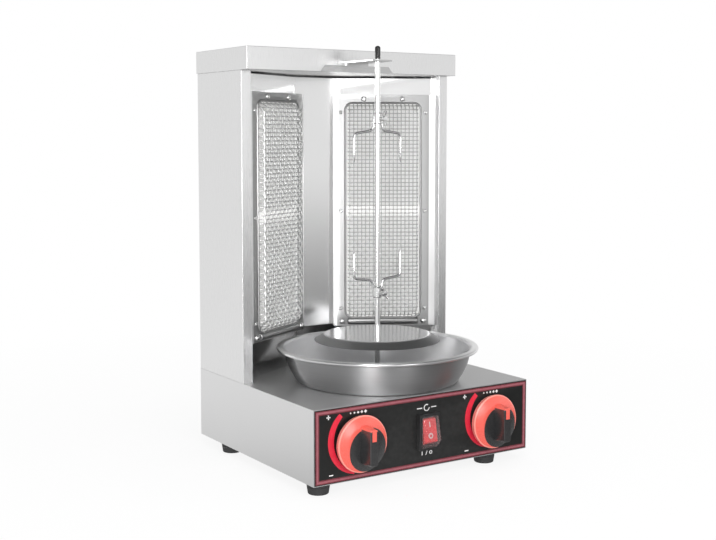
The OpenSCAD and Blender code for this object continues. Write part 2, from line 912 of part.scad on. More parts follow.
module burner_box(side) {
    at_burner(side)
    difference() {
        translate([frame_mid - box_w / 2, box_y, plaque_z - plaque_slip - sheet])
            cube([box_w, box_depth, box_h]);
        translate([frame_mid - box_in_w / 2, box_y - past, plaque_z - plaque_slip])
            cube([box_in_w, box_ledge_y - box_y + past, box_in_h]);
        translate([frame_mid - box_in_w / 2 + box_ledge, box_y, plaque_z - plaque_slip + box_ledge])
            cube([box_in_w - 2 * box_ledge, box_depth - sheet, box_in_h - 2 * box_ledge]);
        translate([frame_mid - box_in_w / 2, box_ledge_y + sheet, plaque_z - plaque_slip])
            cube([box_in_w, box_y + box_depth - box_ledge_y - 2 * sheet, box_in_h]);
        translate([mixer_u, mixer_y, plaque_z - plaque_slip - 2 * sheet])
            cylinder(r = mixer_r - mixer_wall, h = 3 * sheet);
    }
}

module burner_boxes() {
    color(dark)
    for (side = [-1, 1])
        burner_box(side);
}

module window_shape(grow) {
    translate([frame_mid, window_z + window_h / 2])
        round_rect(window_w + 2 * grow, window_h + 2 * grow, window_r + grow);
}

module plaque_gaskets() {
    edge = 0.5;
    color("ivory")
    for (side = [-1, 1])
        at_burner(side)
            upright(gasket_y, gasket_t)
                difference() {
                    translate([frame_side, plaque_z])
                        square([plaque_w, plaques_h]);
                    window_shape(edge);
                }
}

module joint_strips() {
    color("white")
    for (side = [-1, 1])
        at_burner(side)
            translate([frame_mid - window_w / 2, gasket_y, joint_z - joint_strip_h / 2])
                cube([window_w, gasket_t, joint_strip_h]);
}

module ceramic_plaques() {
    color("linen")
    for (side = [-1, 1], i = [0, 1])
        at_burner(side)
            translate([frame_side, plaque_y, plaque_z + i * (plaque_h + plaque_gap)])
                cube([plaque_w, plaque_t, plaque_h]);
}

// A block that narrows by the mesh's slanted border from y = back to y = front
module basket(w, h, front, back) {
    corners = [[-1, -1], [1, -1], [1, 1], [-1, 1]];
    points = [
        for (c = corners) [c[0] * w / 2, back, c[1] * h / 2],
        for (c = corners) [c[0] * (w / 2 - mesh_slope), front, c[1] * (h / 2 - mesh_slope)]
    ];
    sides = [for (i = [0 : 3]) [i, i + 4, (i + 1) % 4 + 4, (i + 1) % 4]];
    polyhedron(points, concat(sides, [[0, 1, 2, 3], [7, 6, 5, 4]]));
}

module burner_mesh(side) {
    pitch_x = (basket_w - mesh_bar) / mesh_cols;
    pitch_z = (basket_h - mesh_bar) / mesh_rows;
    mid_z = window_z + window_h / 2;
    color("lightgray")
    at_burner(side)
    translate([frame_mid, 0, mid_z])
    intersection() {
        difference() {
            union() {
                upright(mesh_y, mesh_t)
                    square([mesh_w, mesh_h], center = true);
                basket(basket_w, basket_h, -mesh_bulge, mesh_y + mesh_t);
            }
            basket(basket_w - 2 * mesh_t, basket_h - 2 * mesh_t, mesh_t - mesh_bulge, mesh_y + mesh_t + past);
        }
        upright(-mesh_bulge - past, mesh_bulge + mesh_y + mesh_t + 2 * past)
            difference() {
                square([mesh_w, mesh_h], center = true);
                translate([-basket_w / 2, -basket_h / 2])
                    for (i = [0 : mesh_cols - 1], j = [0 : mesh_rows - 1])
                        translate([mesh_bar + i * pitch_x, mesh_bar + j * pitch_z])
                            square([pitch_x - mesh_bar, pitch_z - mesh_bar]);
            }
    }
}

module burner_frame(side) {
    sheet_in = sheet * sqrt(2);
    flange_in = sheet / sqrt(2);
    bead_start = bolt_inset + bead_gap;
    color(steel)
    at_burner(side)
    difference() {
        union() {
            translate([0, 0, frame_z])
                linear_extrude(frame_h)
                    polygon([
                        [-frame_flange, frame_flange],
                        [0, 0],
                        [frame_w, 0],
                        [frame_w, frame_depth],
                        [frame_w - sheet, frame_depth],
                        [frame_w - sheet, sheet],
                        [sheet_in - sheet, sheet],
                        [-frame_flange + flange_in, frame_flange + flange_in]
                    ]);
            for (z = [frame_z, frame_z + frame_h - sheet])
                translate([0, 0, z])
                    cube([frame_w, frame_depth, sheet]);
            upright(-window_lip_h, window_lip_h + sheet / 2)
                window_shape(window_lip_w);
            intersection() {
                translate([bead_start, sheet, frame_z + bolt_rise])
                    bar_x(bead_r, frame_w - 2 * bead_start);
                translate([0, -bead_r, frame_z])
                    cube([frame_w, bead_r + sheet / 2, 3 * bead_r]);
            }
        }
        upright(-bead_r - past, bead_r + past + 2 * sheet)
            window_shape(0);
        for (s = frame_screw_list)
            translate([s[0], -past, s[1]])
                bar_y(s[2] + run_gap, sheet + 2 * past);
    }
}

module frame_screws() {
    color(steel)
    for (side = [-1, 1], s = frame_screw_list)
        at_burner(side)
            translate([s[0], 0, s[1]])
                rotate([90, 0, 0])
                    screw(s[3], s[4], s[2], sheet);
}

// Switch: the rocker pivots in the housing's bezel, under the splash boot

module switch_housing() {
    color("black")
    translate([0, 0, panel_z])
    difference() {
        union() {
            upright(bezel_y, bezel_proud)
                square([bezel_w, bezel_h], center = true);
            upright(bezel_y, bezel_proud + overlay_t + switch_depth)
                square([switch_w, switch_h], center = true);
        }
        upright(bezel_y - past, rocker_y + rocker_r + rocker_gap - bezel_y + past)
            square([switch_cut_w, switch_cut_h], center = true);
    }
}

module rocker_button() {
    color("red")
    translate([0, rocker_y, panel_z])
    rotate([-rocker_swing / 2, 0, 0])
    intersection() {
        translate([-rocker_w / 2, 0, 0])
            bar_x(rocker_r, rocker_w);
        translate([-rocker_w / 2, -rocker_face, -rocker_r])
            cube([rocker_w, rocker_face + rocker_r, 2 * rocker_r]);
    }
}

// The boot's outline seen from the side: its face leans with the resting rocker
module boot_side(wall, back) {
    half = bezel_h / 2 - boot_margin - wall;
    polygon([
        [bezel_y + back, -half],
        [bezel_y - boot_low_out + 1.2 * wall, -half + boot_chin],
        [bezel_y - boot_top_out + wall, half - boot_brow],
        [bezel_y + back, half]
    ]);
}

module switch_boot() {
    boot_w = bezel_w - 2 * boot_margin;
    color("tomato", 0.4)
    translate([0, 0, panel_z])
    difference() {
        along_x(boot_w)
            boot_side(0, 0);
        along_x(boot_w - 2 * boot_wall)
            boot_side(boot_wall, past);
    }
}

// Drive

module gearbox() {
    ear_w = 6 * stud_r;
    color(steel)
    difference() {
        union() {
            translate([-gearbox_w / 2, spit_y - gearbox_w / 2, gearbox_z])
                cube([gearbox_w, gearbox_w, gearbox_h]);
            translate([-stud_x - ear_w / 2, spit_y - ear_w / 2, ear_z])
                cube([2 * stud_x + ear_w, ear_w, ear_t]);
        }
        both_sides()
            translate([stud_x, spit_y, ear_z - past])
                cylinder(r = stud_r + slip_gap, h = ear_t + 2 * past);
        translate([0, spit_y, gearbox_z + gearbox_skin])
            cylinder(r = shaft_r + 2 * slip_gap, h = gearbox_h);
        translate([0, spit_y, base_top - sheet - bush_flange_h])
            cylinder(r = bush_flange_r + slip_gap, h = gearbox_h);
    }
}

module motor_can() {
    color(dark)
    translate([0, spit_y, motor_z])
        cylinder(r = motor_r, h = motor_h);
}

module motor_nuts() {
    color(steel)
    both_sides()
        translate([stud_x, spit_y, ear_z - nut_h])
            difference() {
                cylinder(r = 2 * stud_r, h = nut_h, $fn = 6);
                translate([0, 0, -past])
                    cylinder(r = stud_r + run_gap, h = nut_h + 2 * past);
            }
}

module shaft_bush() {
    color(brass)
    translate([0, spit_y, base_top - sheet - bush_flange_h])
    difference() {
        union() {
            cylinder(r = bush_flange_r, h = bush_flange_h);
            cylinder(r = bush_r, h = bush_flange_h + sheet + past);
        }
        translate([0, 0, -past])
            cylinder(r = shaft_r + run_gap, h = bush_flange_h + sheet + 3 * past);
    }
}

module output_shaft() {
    color(steel)
    translate([0, spit_y, shaft_z])
        cylinder(r = shaft_r, h = shaft_top - shaft_z);
}

module drive_socket() {
    color(steel)
    difference() {
        translate([0, spit_y, socket_z])
            cylinder(r = socket_r, h = socket_h);
        translate([0, spit_y, socket_z - past])
            cylinder(r = shaft_r, h = shaft_top - socket_z + past);
        translate([0, spit_y, socket_z])
            cylinder(r = rod_r + run_gap, h = socket_h + past);
        translate([-socket_r - past, spit_y - pin_r - pin_gap, pin_z - pin_r - pin_gap])
            cube([2 * (socket_r + past), 2 * (pin_r + pin_gap), socket_h]);
    }
}

// Cabinet

module side_panel(side) {
    lip_x = side_x - flange_w;
    lip_end = liner_y(lip_x + sheet);
    color(steel)
    mirror([side < 0 ? 1 : 0, 0, 0])
        translate([0, 0, base_top])
            linear_extrude(cabinet_top - base_top)
                polygon([
                    [side_x, back_y],
                    [side_x, cabinet_y],
                    [lip_x, cabinet_y],
                    [lip_x, lip_end],
                    [lip_x + sheet, lip_end],
                    [lip_x + sheet, cabinet_y + sheet],
                    [side_x - sheet, cabinet_y + sheet],
                    [side_x - sheet, back_y]
                ]);
}

module back_screw_places() {
    low = base_top + back_screw_inset;
    high = cabinet_top - back_screw_inset;
    for (x = [-1, 1], z = [low, (low + high) / 2, high])
        translate([x * (side_x - back_screw_inset), back_y, z])
            children();
}

module back_panel() {
    vent_z = cabinet_top - vent_drop - vent_count * vent_pitch;
    color(steel)
    difference() {
        translate([-side_x + sheet, back_y - sheet, base_top])
            cube([base_w - 2 * sheet, sheet, cabinet_top - base_top]);
        for (i = [0 : vent_count - 1])
            translate([-vent_l / 2, back_y - 2 * sheet, vent_z + i * vent_pitch])
                cube([vent_l, 3 * sheet, vent_h]);
        back_screw_places()
            translate([0, -2 * sheet, 0])
                bar_y(panel_screw_r + run_gap, 3 * sheet);
    }
}

module inner_liner() {
    end_x = side_x - sheet;
    bend_x = liner_x(strip_y);
    bend_in = liner_x(strip_y + sheet - liner_skew);
    face = [[end_x, liner_y(end_x)], [bend_x, strip_y]];
    rear = [[bend_in, strip_y + sheet], [end_x, liner_y(end_x) + liner_skew]];
    color(steel)
    difference() {
        translate([0, 0, base_top])
            linear_extrude(cabinet_top - liner_gap - base_top)
                polygon(concat(
                    face,
                    [for (p = [face[1], face[0], rear[1], rear[0]]) [-p[0], p[1]]],
                    rear
                ));
        for (side = [-1, 1])
            at_burner(side)
                translate([frame_mid - box_in_w / 2, frame_depth - sheet, plaque_z - plaque_slip])
                    cube([box_in_w, 3 * sheet, box_in_h]);
        translate([-bend_in + sheet, strip_y - sheet, base_top - past])
            cube([2 * (bend_in - sheet), 3 * sheet, air_h + past]);
    }
}

module ceiling_plate() {
    color(steel)
    translate([-side_x, cap_y + sheet, cabinet_top])
        cube([base_w, back_y - cap_y - sheet, sheet]);
}

module top_cap() {
    color(steel)
    difference() {
        translate([-side_x - sheet, cap_y, cabinet_top])
            cube([base_w + 2 * sheet, back_y + sheet - cap_y, cap_h]);
        translate([-side_x, cap_y + sheet, cabinet_top - past])
            cube([base_w, back_y - cap_y - sheet, cap_h + past - sheet]);
    }
}

module spit_bracket() {
    tongue_l = cap_y - spit_y + tongue_past;
    color(steel)
    difference() {
        union() {
            translate([0, 0, cabinet_top])
                upright(cap_y - bracket_t, bracket_t)
                    polygon([
                        [-bracket_w / 2, 0],
                        [bracket_w / 2, 0],
                        [bracket_top_w / 2, bracket_foot_h],
                        [tongue_w / 2, bracket_foot_h],
                        [tongue_w / 2, tongue_z + bracket_t],
                        [-tongue_w / 2, tongue_z + bracket_t],
                        [-tongue_w / 2, bracket_foot_h],
                        [-bracket_top_w / 2, bracket_foot_h]
                    ]);
            translate([0, cap_y, cabinet_top + tongue_z])
                linear_extrude(bracket_t)
                    polygon([
                        [-tongue_w / 2, 0],
                        [-tongue_tip_w / 2, -tongue_l],
                        [tongue_tip_w / 2, -tongue_l],
                        [tongue_w / 2, 0]
                    ]);
        }
        translate([0, spit_y, cabinet_top])
            cylinder(r = rod_r + guide_gap, h = 2 * cap_h);
    }
}

// Drip pan: a leaning, bulging wall with a flat rim, and a neck round the drive socket

module drip_pan() {
    lip_z = pan_h - sheet;
    wall = [for (i = [0 : pan_steps]) [pan_r(i / pan_steps), lip_z * i / pan_steps]];
    inner = [
        for (i = [pan_steps : -1 : 1])
            [pan_r(i / pan_steps) - sheet, max(lip_z * i / pan_steps, sheet)]
    ];
    color("gray")
    translate([0, spit_y, base_top])
        rotate_extrude() {
            polygon(concat(
                [[neck_r, 0]],
                wall,
                [
                    [pan_rim_r - pan_bead_r, lip_z],
                    [pan_rim_r - pan_bead_r, pan_h],
                    [pan_wall_r - sheet, pan_h]
                ],
                inner,
                [
                    [pan_floor_r - sheet, sheet],
                    [neck_r + sheet, sheet],
                    [neck_r + sheet, neck_h],
                    [neck_r, neck_h]
                ]
            ));
            translate([pan_rim_r - pan_bead_r, pan_h - pan_bead_r])
                circle(pan_bead_r);
        }
}

// Spit

module spit_rod() {
    color(steel)
    translate([0, spit_y, 0])
    difference() {
        translate([0, 0, rod_z])
            cylinder(r = rod_r, h = rod_top - rod_z);
        translate([-rod_d, 0, pin_z])
            bar_x(pin_r, 2 * rod_d);
    }
}

module rod_tip() {
    chamfer = 1;
    color("black")
    translate([0, spit_y, rod_top]) {
        cylinder(r = rod_r, h = tip_h - chamfer);
        translate([0, 0, tip_h - chamfer])
            cylinder(r1 = rod_r, r2 = rod_r - chamfer, h = chamfer);
    }
}

module cross_pin() {
    color(steel)
    translate([-pin_l / 2, spit_y, pin_z])
        bar_x(pin_r, pin_l);
}

module meat_plate() {
    top_r = plate_r - plate_skirt;
    color("gray")
    translate([0, spit_y, plate_z])
    rotate_extrude()
        polygon([
            [rod_r, plate_h],
            [top_r, plate_h],
            [plate_r, 0],
            [plate_r - plate_t * 1.2, 0],
            [top_r - plate_t * 0.6, plate_h - plate_t],
            [hub_r, plate_h - plate_t],
            [hub_r, plate_h - hub_h],
            [rod_r, plate_h - hub_h]
        ]);
}

// Forks: drawn with their prongs down, round a collar centred at z = 0

module fork() {
    wire_r = fork_wire_d / 2;
    arm_x = collar_d / 2 - wire_r / 2;
    path = [
        [arm_x, 0, collar_h / 4],
        [arm_x + wire_r, 0, -fork_arm_drop],
        [fork_span / 2, 0, -fork_arm_drop - fork_wire_d],
        [fork_span / 2, 0, -fork_arm_drop - prong_l]
    ];
    difference() {
        union() {
            translate([0, 0, -collar_h / 2])
                cylinder(d = collar_d, h = collar_h);
            for (turn = [0, 180])
                rotate([0, 0, turn])
                    wire(bent(path, fork_bend), wire_r);
        }
        translate([0, 0, -collar_h])
            cylinder(r = rod_r + run_gap, h = 2 * collar_h);
        translate([0, -collar_d, 0])
            bar_y(fork_hole_r, collar_d);
    }
}

module wing_screw(turn) {
    wing_t = 2;
    lobe_r = wing_span / 4;
    tip = rod_r + slip_gap;
    hub_z = collar_d / 2 + past;
    rotate([90, 0, 0]) {
        translate([0, 0, tip])
            cylinder(d = wing_screw_d, h = wing_reach - tip - past);
        translate([0, 0, hub_z])
            cylinder(r = wing_screw_d, h = wing_reach - hub_z);
        rotate([0, 0, turn])
            translate([0, wing_t / 2, wing_reach - lobe_r])
                rotate([90, 0, 0])
                    linear_extrude(wing_t) {
                        for (x = [-1, 1])
                            translate([x * (wing_span / 2 - lobe_r), 0])
                                circle(lobe_r);
                        translate([-wing_span / 2 + lobe_r, -lobe_r])
                            square([wing_span - 2 * lobe_r, lobe_r]);
                    }
    }
}

module upper_place() {
    translate([0, spit_y, upper_fork_z])
        children();
}

module lower_place() {
    translate([0, spit_y, lower_fork_z])
        mirror([0, 0, 1])
            children();
}

module upper_fork() {
    color(steel)
    upper_place()
        fork();
}

module lower_fork() {
    color(steel)
    lower_place()
        fork();
}

module upper_wing_screw() {
    color(steel)
    upper_place()
        wing_screw(upper_wing_turn);
}

module lower_wing_screw() {
    color(steel)
    lower_place()
        wing_screw(lower_wing_turn);
}

// Power inlet

module cable_gland() {
    lock_h = 5;
    flange_h = 4;
    color("black")
    translate([-gland_x, back_y, panel_z])
    difference() {
        union() {
            rotate([-90, 0, 0])
                cylinder(r = gland_hex_r, h = flange_h, $fn = 6);
            translate([0, -sheet - lock_h - past, 0])
                bar_y(gland_r, sheet + lock_h + past + gland_proud);
            translate([0, -sheet - lock_h, 0])
                rotate([-90, 0, 0])
                    cylinder(r = gland_hex_r, h = lock_h, $fn = 6);
        }
        translate([0, -base_d / 2, 0])
            bar_y(gland_bore_r, base_d);
    }
}

module terminal_block() {
    block = [34, 18, 15];
    ways = 3;
    screw_r = 2.2;
    block_setback = 60;
    color("ivory")
    translate([-gland_x - block[0] / 2, back_y - block_setback, foot_h + sheet])
        difference() {
            cube(block);
            for (i = [0 : ways - 1])
                translate([block[0] * (i + 0.5) / ways, block[1] / 2, block[2] / 2])
                    cylinder(r = screw_r, h = block[2]);
        }
}

base_shell();
base_floor();
foot(-side_x + foot_left, front_y + foot_front);  // foot_front_left
foot(side_x - foot_right, front_y + foot_front);  // foot_front_right
foot(-side_x + foot_left, back_y - foot_back);  // foot_back_left
foot(side_x - foot_right, back_y - foot_back);  // foot_back_right
foot_screws();
panel_screws();
control_overlay();
knob(-1);  // left_knob
valve_stem(-1);  // left_valve_stem
valve_plug(-1);  // left_valve_plug
valve_body(-1);  // left_valve_body
knob(1);  // right_knob
valve_stem(1);  // right_valve_stem
valve_plug(1);  // right_valve_plug
valve_body(1);  // right_valve_body
gas_rail();
gas_inlet();
burner_pipes();
gas_injectors();
mixing_tubes();
burner_boxes();
plaque_gaskets();
joint_strips();
ceramic_plaques();
burner_frame(-1);  // left_burner_frame
burner_mesh(-1);  // left_mesh
burner_frame(1);  // right_burner_frame
burner_mesh(1);  // right_mesh
frame_screws();
switch_housing();
rocker_button();
switch_boot();
gearbox();
motor_can();
motor_nuts();
shaft_bush();
output_shaft();
drive_socket();
side_panel(-1);  // left_side_panel
side_panel(1);  // right_side_panel
back_panel();
inner_liner();
ceiling_plate();
top_cap();
spit_bracket();
drip_pan();
spit_rod();
rod_tip();
cross_pin();
meat_plate();
upper_fork();
lower_fork();
upper_wing_screw();
lower_wing_screw();
cable_gland();
terminal_block();
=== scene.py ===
# %% [markdown]
# A gas grill for meat on an upright spit. Its frame is a set of solids that already have the right
# size and place. This lesson dresses them: it models the pieces that the eye meets first, gives every
# surface a finish made of nodes, and sets up a plain studio. Loading comes first.

# %% Load the frame
import json
import math

import bmesh
import bpy
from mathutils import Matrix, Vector


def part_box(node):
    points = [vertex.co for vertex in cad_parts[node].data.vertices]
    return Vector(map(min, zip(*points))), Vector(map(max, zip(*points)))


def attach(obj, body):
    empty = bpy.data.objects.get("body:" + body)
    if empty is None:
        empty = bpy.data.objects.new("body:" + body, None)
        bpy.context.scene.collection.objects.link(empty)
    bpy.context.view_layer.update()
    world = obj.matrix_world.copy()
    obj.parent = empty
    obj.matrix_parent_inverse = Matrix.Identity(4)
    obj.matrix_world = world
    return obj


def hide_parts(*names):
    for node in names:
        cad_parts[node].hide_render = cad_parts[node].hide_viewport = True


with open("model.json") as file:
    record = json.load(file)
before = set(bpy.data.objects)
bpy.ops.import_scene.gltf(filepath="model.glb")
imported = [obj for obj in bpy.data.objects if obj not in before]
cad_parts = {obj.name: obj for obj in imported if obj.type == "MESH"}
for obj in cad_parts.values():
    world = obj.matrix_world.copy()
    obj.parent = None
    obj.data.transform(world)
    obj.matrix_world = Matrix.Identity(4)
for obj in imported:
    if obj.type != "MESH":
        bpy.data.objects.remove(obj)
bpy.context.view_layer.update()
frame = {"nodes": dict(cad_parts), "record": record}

nodes = frame["nodes"]
MM = 0.001

# %% [markdown]
# Most sizes of the lesson are in millimetres, as on a drawing, and are read off the solids where they
# can be. The spit's axis, the top of the base and the middle of the control panel are used again and
# again, so they get names here.

# %% Places that many pieces share
base_low, base_high = (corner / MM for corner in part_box("base_shell"))
panel_low, panel_high = (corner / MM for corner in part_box("control_overlay"))
rod_low, rod_high = (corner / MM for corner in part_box("spit_rod"))
SPIT_Y = (rod_low.y + rod_high.y) / 2
BASE_TOP = base_high.z
PANEL_Z = (base_low.z + base_high.z) / 2
PANEL_Y = panel_low.y
print("spit axis y:", round(SPIT_Y, 2), "base top:", round(BASE_TOP, 2), "panel face y:", round(PANEL_Y, 2))

# %% [markdown]
# The camera stands at the left in front, a little above the cap, and looks slightly down. A long lens
# keeps the upright edges nearly parallel. The vertical shift moves the picture without tilting the
# camera any further, as a shift lens does.

# %% Camera
CAMERA_PLACE = Vector((-713.5, -1088.4, 352.7)) * MM
CAMERA_YAW = 0.578
CAMERA_PITCH = 0.081
PHOTO_WIDTH = 716
SHIFT_PIXELS = -40

bpy.ops.object.select_all(action="DESELECT")
bpy.ops.object.camera_add(
    location=CAMERA_PLACE, rotation=(math.pi / 2 - CAMERA_PITCH, 0, -CAMERA_YAW)
)
camera = bpy.context.object
camera.data.lens = 59.57
camera.data.sensor_width = 36
camera.data.shift_y = SHIFT_PIXELS / PHOTO_WIDTH
camera.data.dof.use_dof = False
bpy.context.scene.camera = camera
bpy.context.scene.view_settings.view_transform = "Standard"
print("camera at", [round(v, 3) for v in camera.location])

# %% [markdown]
# Bare steel shows what stands around it, so the studio matters as much as the metal. The world is a
# soft tent. The camera sees it white. The steel sees a bright band along the horizon that falls off to
# dark overhead, and the light that the tent throws on the grill is weaker than what it shows. The
# floor is pale and keeps the shadow, and for the camera it glows just enough to melt into the
# background. A dark patch of floor and a low flag, at the right in front, are seen only by the steel.
# They give the upright sheets their fall from light to dark.

# %% Nodes made easy
def put(tree, socket, value):
    """Links a value to a socket, or sets it there if it is a plain one."""
    if isinstance(value, bpy.types.NodeSocket):
        tree.links.new(value, socket)
    else:
        socket.default_value = value


def feed(tree, node, **values):
    """Fills inputs of a node, by name."""
    for name, value in values.items():
        put(tree, node.inputs[name.replace("_", " ")], value)


def add(tree, kind, **settings):
    """A new shader node. A setting is a property of the node or, with a capital letter, an input."""
    made = tree.nodes.new(kind)
    for name, value in settings.items():
        if name[0].isupper():
            feed(tree, made, **{name: value})
        else:
            setattr(made, name, value)
    return made


def ramp(tree, source, *stops):
    """A colour ramp that reads a value. Each stop is a position and a grey."""
    made = add(tree, "ShaderNodeValToRGB", Fac=source)
    band = made.color_ramp.elements
    while len(band) < len(stops):
        band.new(0.5)
    for stop, (place, grey) in zip(band, stops):
        stop.position = place
        stop.color = (grey, grey, grey, 1)
    return made.outputs["Color"]


def mapped(tree, value, low, high, to_low=0.0, to_high=1.0):
    """A value that runs from to_low to to_high while another runs from low to high."""
    made = add(tree, "ShaderNodeMapRange", From_Min=low, From_Max=high, To_Min=to_low, To_Max=to_high)
    feed(tree, made, Value=value)
    return made.outputs[0]


def maths(tree, operation, *values):
    """A sum on values."""
    made = add(tree, "ShaderNodeMath", operation=operation)
    for socket, value in zip(made.inputs, values):
        put(tree, socket, value)
    return made.outputs[0]


def sum_of(tree, *masks):
    """Adds up several masks and keeps the sum at 1 or below."""
    total = masks[0]
    for mask in masks[1:]:
        total = maths(tree, "MINIMUM", maths(tree, "ADD", total, mask), 1)
    return total


def vectors(tree, operation, *values):
    """A sum on vectors. It gives back a vector, or a number where the sum makes one."""
    made = add(tree, "ShaderNodeVectorMath", operation=operation)
    for socket, value in zip(made.inputs, values):
        put(tree, socket, value)
    numbers = ("LENGTH", "DISTANCE", "DOT_PRODUCT")
    return made.outputs["Value" if operation in numbers else "Vector"]


def split(tree, vector):
    """The three axes of a vector."""
    made = add(tree, "ShaderNodeSeparateXYZ")
    put(tree, made.inputs[0], vector)
    return made.outputs


def mix_shaders(tree, share, first, second):
    """A shader node between two shader nodes."""
    made = add(tree, "ShaderNodeMixShader", Fac=share)
    put(tree, made.inputs[1], first.outputs[0])
    put(tree, made.inputs[2], second.outputs[0])
    return made


# %% World
AMBIENT = 0.62
WHITE = (1, 1, 1, 1)
TENT_GREYS = (
    (0.0, 0.5),
    (0.45, 0.8),
    (0.51, 0.82),
    (0.59, 0.82),
    (0.68, 0.45),
    (0.76, 0.2),
    (1.0, 0.1),
)
world = bpy.data.worlds.new("tent")
bpy.context.scene.world = world
world.use_nodes = True
tent = world.node_tree
tent.nodes.clear()
sky_way = add(tent, "ShaderNodeTexCoord").outputs["Generated"]
sky_height = mapped(tent, split(tent, sky_way)["Z"], -1, 1)
ray = add(tent, "ShaderNodeLightPath").outputs
lit = add(tent, "ShaderNodeBackground", Color=WHITE, Strength=AMBIENT)
seen = add(tent, "ShaderNodeBackground", Color=ramp(tent, sky_height, *TENT_GREYS), Strength=1.0)
white = add(tent, "ShaderNodeBackground", Color=WHITE, Strength=1.0)
glossy = sum_of(tent, ray["Is Glossy Ray"], ray["Is Transmission Ray"])
for_grill = mix_shaders(tent, glossy, lit, seen)
for_all = mix_shaders(tent, ray["Is Camera Ray"], for_grill, white)
add(tent, "ShaderNodeOutputWorld", Surface=for_all.outputs[0])
print("world nodes:", len(tent.nodes))

# %% Floor
FLOOR_SIZE, PAPER_GREY = 14, 0.9
GLOW_REACH, GLOW_NEAR = (0.2, 0.9), 0.86
MIRROR_REACH, MIRROR_GREYS = (0.2, 1.0), ((0.0, 0.66), (0.4, 0.82), (1.0, 0.82))
PATCH_PLACE, PATCH_REACH, PATCH_LIGHT = (0.45, -0.6, 0), (0.35, 0.95), 0.12
bpy.ops.object.select_all(action="DESELECT")
bpy.ops.mesh.primitive_plane_add(size=FLOOR_SIZE, location=(0, 0, 0))
floor = bpy.context.object
floor.name = "studio_floor"
paper = bpy.data.materials.new("floor_paper")
paper.use_nodes = True
sheet = paper.node_tree
sheet.nodes.clear()
floor_ray = add(sheet, "ShaderNodeLightPath").outputs
floor_place = add(sheet, "ShaderNodeTexCoord").outputs["Object"]
floor_away = vectors(sheet, "LENGTH", floor_place)
matt = add(sheet, "ShaderNodeBsdfDiffuse", Color=(PAPER_GREY, PAPER_GREY, PAPER_GREY, 1))
glow = add(sheet, "ShaderNodeEmission", Color=WHITE, Strength=1.0)
seen_by = sum_of(sheet, floor_ray["Is Camera Ray"], floor_ray["Is Transmission Ray"])
glow_share = maths(sheet, "MULTIPLY", seen_by, mapped(sheet, floor_away, *GLOW_REACH, GLOW_NEAR))
shown_paper = mix_shaders(sheet, glow_share, matt, glow)
patch_away = vectors(sheet, "DISTANCE", floor_place, PATCH_PLACE)
image = add(
    sheet,
    "ShaderNodeEmission",
    Color=ramp(sheet, mapped(sheet, floor_away, *MIRROR_REACH), *MIRROR_GREYS),
    Strength=mapped(sheet, patch_away, *PATCH_REACH, PATCH_LIGHT),
)
all_paper = mix_shaders(sheet, floor_ray["Is Glossy Ray"], shown_paper, image)
add(sheet, "ShaderNodeOutputMaterial", Surface=all_paper.outputs[0])
floor.data.materials.append(paper)
print("floor:", FLOOR_SIZE, "m")

# %% Flag
FLAG_PLACE, FLAG_SIZE = (0.46, -0.71, 0.13), (1.0, 0.26)
FLAG_GREY, FLAG_FADE = 0.36, ((0.25, 0.0), (1.0, 1.0))
bpy.ops.object.select_all(action="DESELECT")
bpy.ops.mesh.primitive_plane_add(size=1, rotation=(math.pi / 2, 0, CAMERA_YAW))
flag = bpy.context.object
flag.name = "black_flag"
flag.scale = (*FLAG_SIZE, 1)
flag.location = FLAG_PLACE
bpy.ops.object.transform_apply(location=True, rotation=True, scale=True)
flag_cloth = bpy.data.materials.new("flag_cloth")
flag_cloth.use_nodes = True
weave = flag_cloth.node_tree
weave.nodes.clear()
flag_place = add(weave, "ShaderNodeTexCoord").outputs["Object"]
flag_height = mapped(weave, split(weave, flag_place)["Z"], 0, FLAG_SIZE[1])
flag_dark = add(weave, "ShaderNodeEmission", Color=(FLAG_GREY, FLAG_GREY, FLAG_GREY, 1), Strength=1.0)
flag_clear = add(weave, "ShaderNodeBsdfTransparent")
faded = mix_shaders(weave, ramp(weave, flag_height, *FLAG_FADE), flag_dark, flag_clear)
add(weave, "ShaderNodeOutputMaterial", Surface=faded.outputs[0])
flag.data.materials.append(flag_cloth)
flag.visible_camera = False
flag.visible_diffuse = False
flag.visible_transmission = False
flag.visible_shadow = False
print("flag:", FLAG_SIZE, "m")

# %% Lamps
GRILL_MIDDLE = Vector((0, 0, 0.22))


def card_light(name, place, size, watts, mirrored=True):
    """A soft square lamp that looks at the grill; the steel mirrors it only where that is wanted."""
    bpy.ops.object.select_all(action="DESELECT")
    bpy.ops.object.light_add(type="AREA", location=place)
    lamp = bpy.context.object
    lamp.name = name
    lamp.data.size = size
    lamp.data.energy = watts
    lamp.visible_glossy = mirrored
    lamp.rotation_euler = (GRILL_MIDDLE - Vector(place)).to_track_quat("-Z", "Y").to_euler()


card_light("key_card", (-0.9, -1.35, 1.5), 1.1, 10)
card_light("low_card", (-1.4, -1.6, 0.3), 0.5, 17)
card_light("front_card", (0.05, -2.3, 0.55), 0.8, 6)
card_light("fill_card", (1.3, -1.2, 0.9), 1.0, 6, mirrored=False)
card_light("top_card", (0.1, -0.2, 1.7), 1.0, 6, mirrored=False)

# %% [markdown]
# A finish is a few effects mixed into one shader. The effects that several finishes need are node
# groups: the streaks that a belt leaves on brushed steel, the rings that spinning leaves on a pan, the
# rub on corners, and the fine speckle of moulded plastic and rubber. Each group only gives back a
# mask or a value, and the material decides what to do with it.

# %% Shared effects
ROUND_Z, ROUND_Y = (1, 1, 0), (1, 0, 1)
CORNERS = (0.54, 0.66)


def flattened(tree, vector, keep):
    """A vector with only the axes that are kept."""
    return vectors(tree, "MULTIPLY", vector, keep)


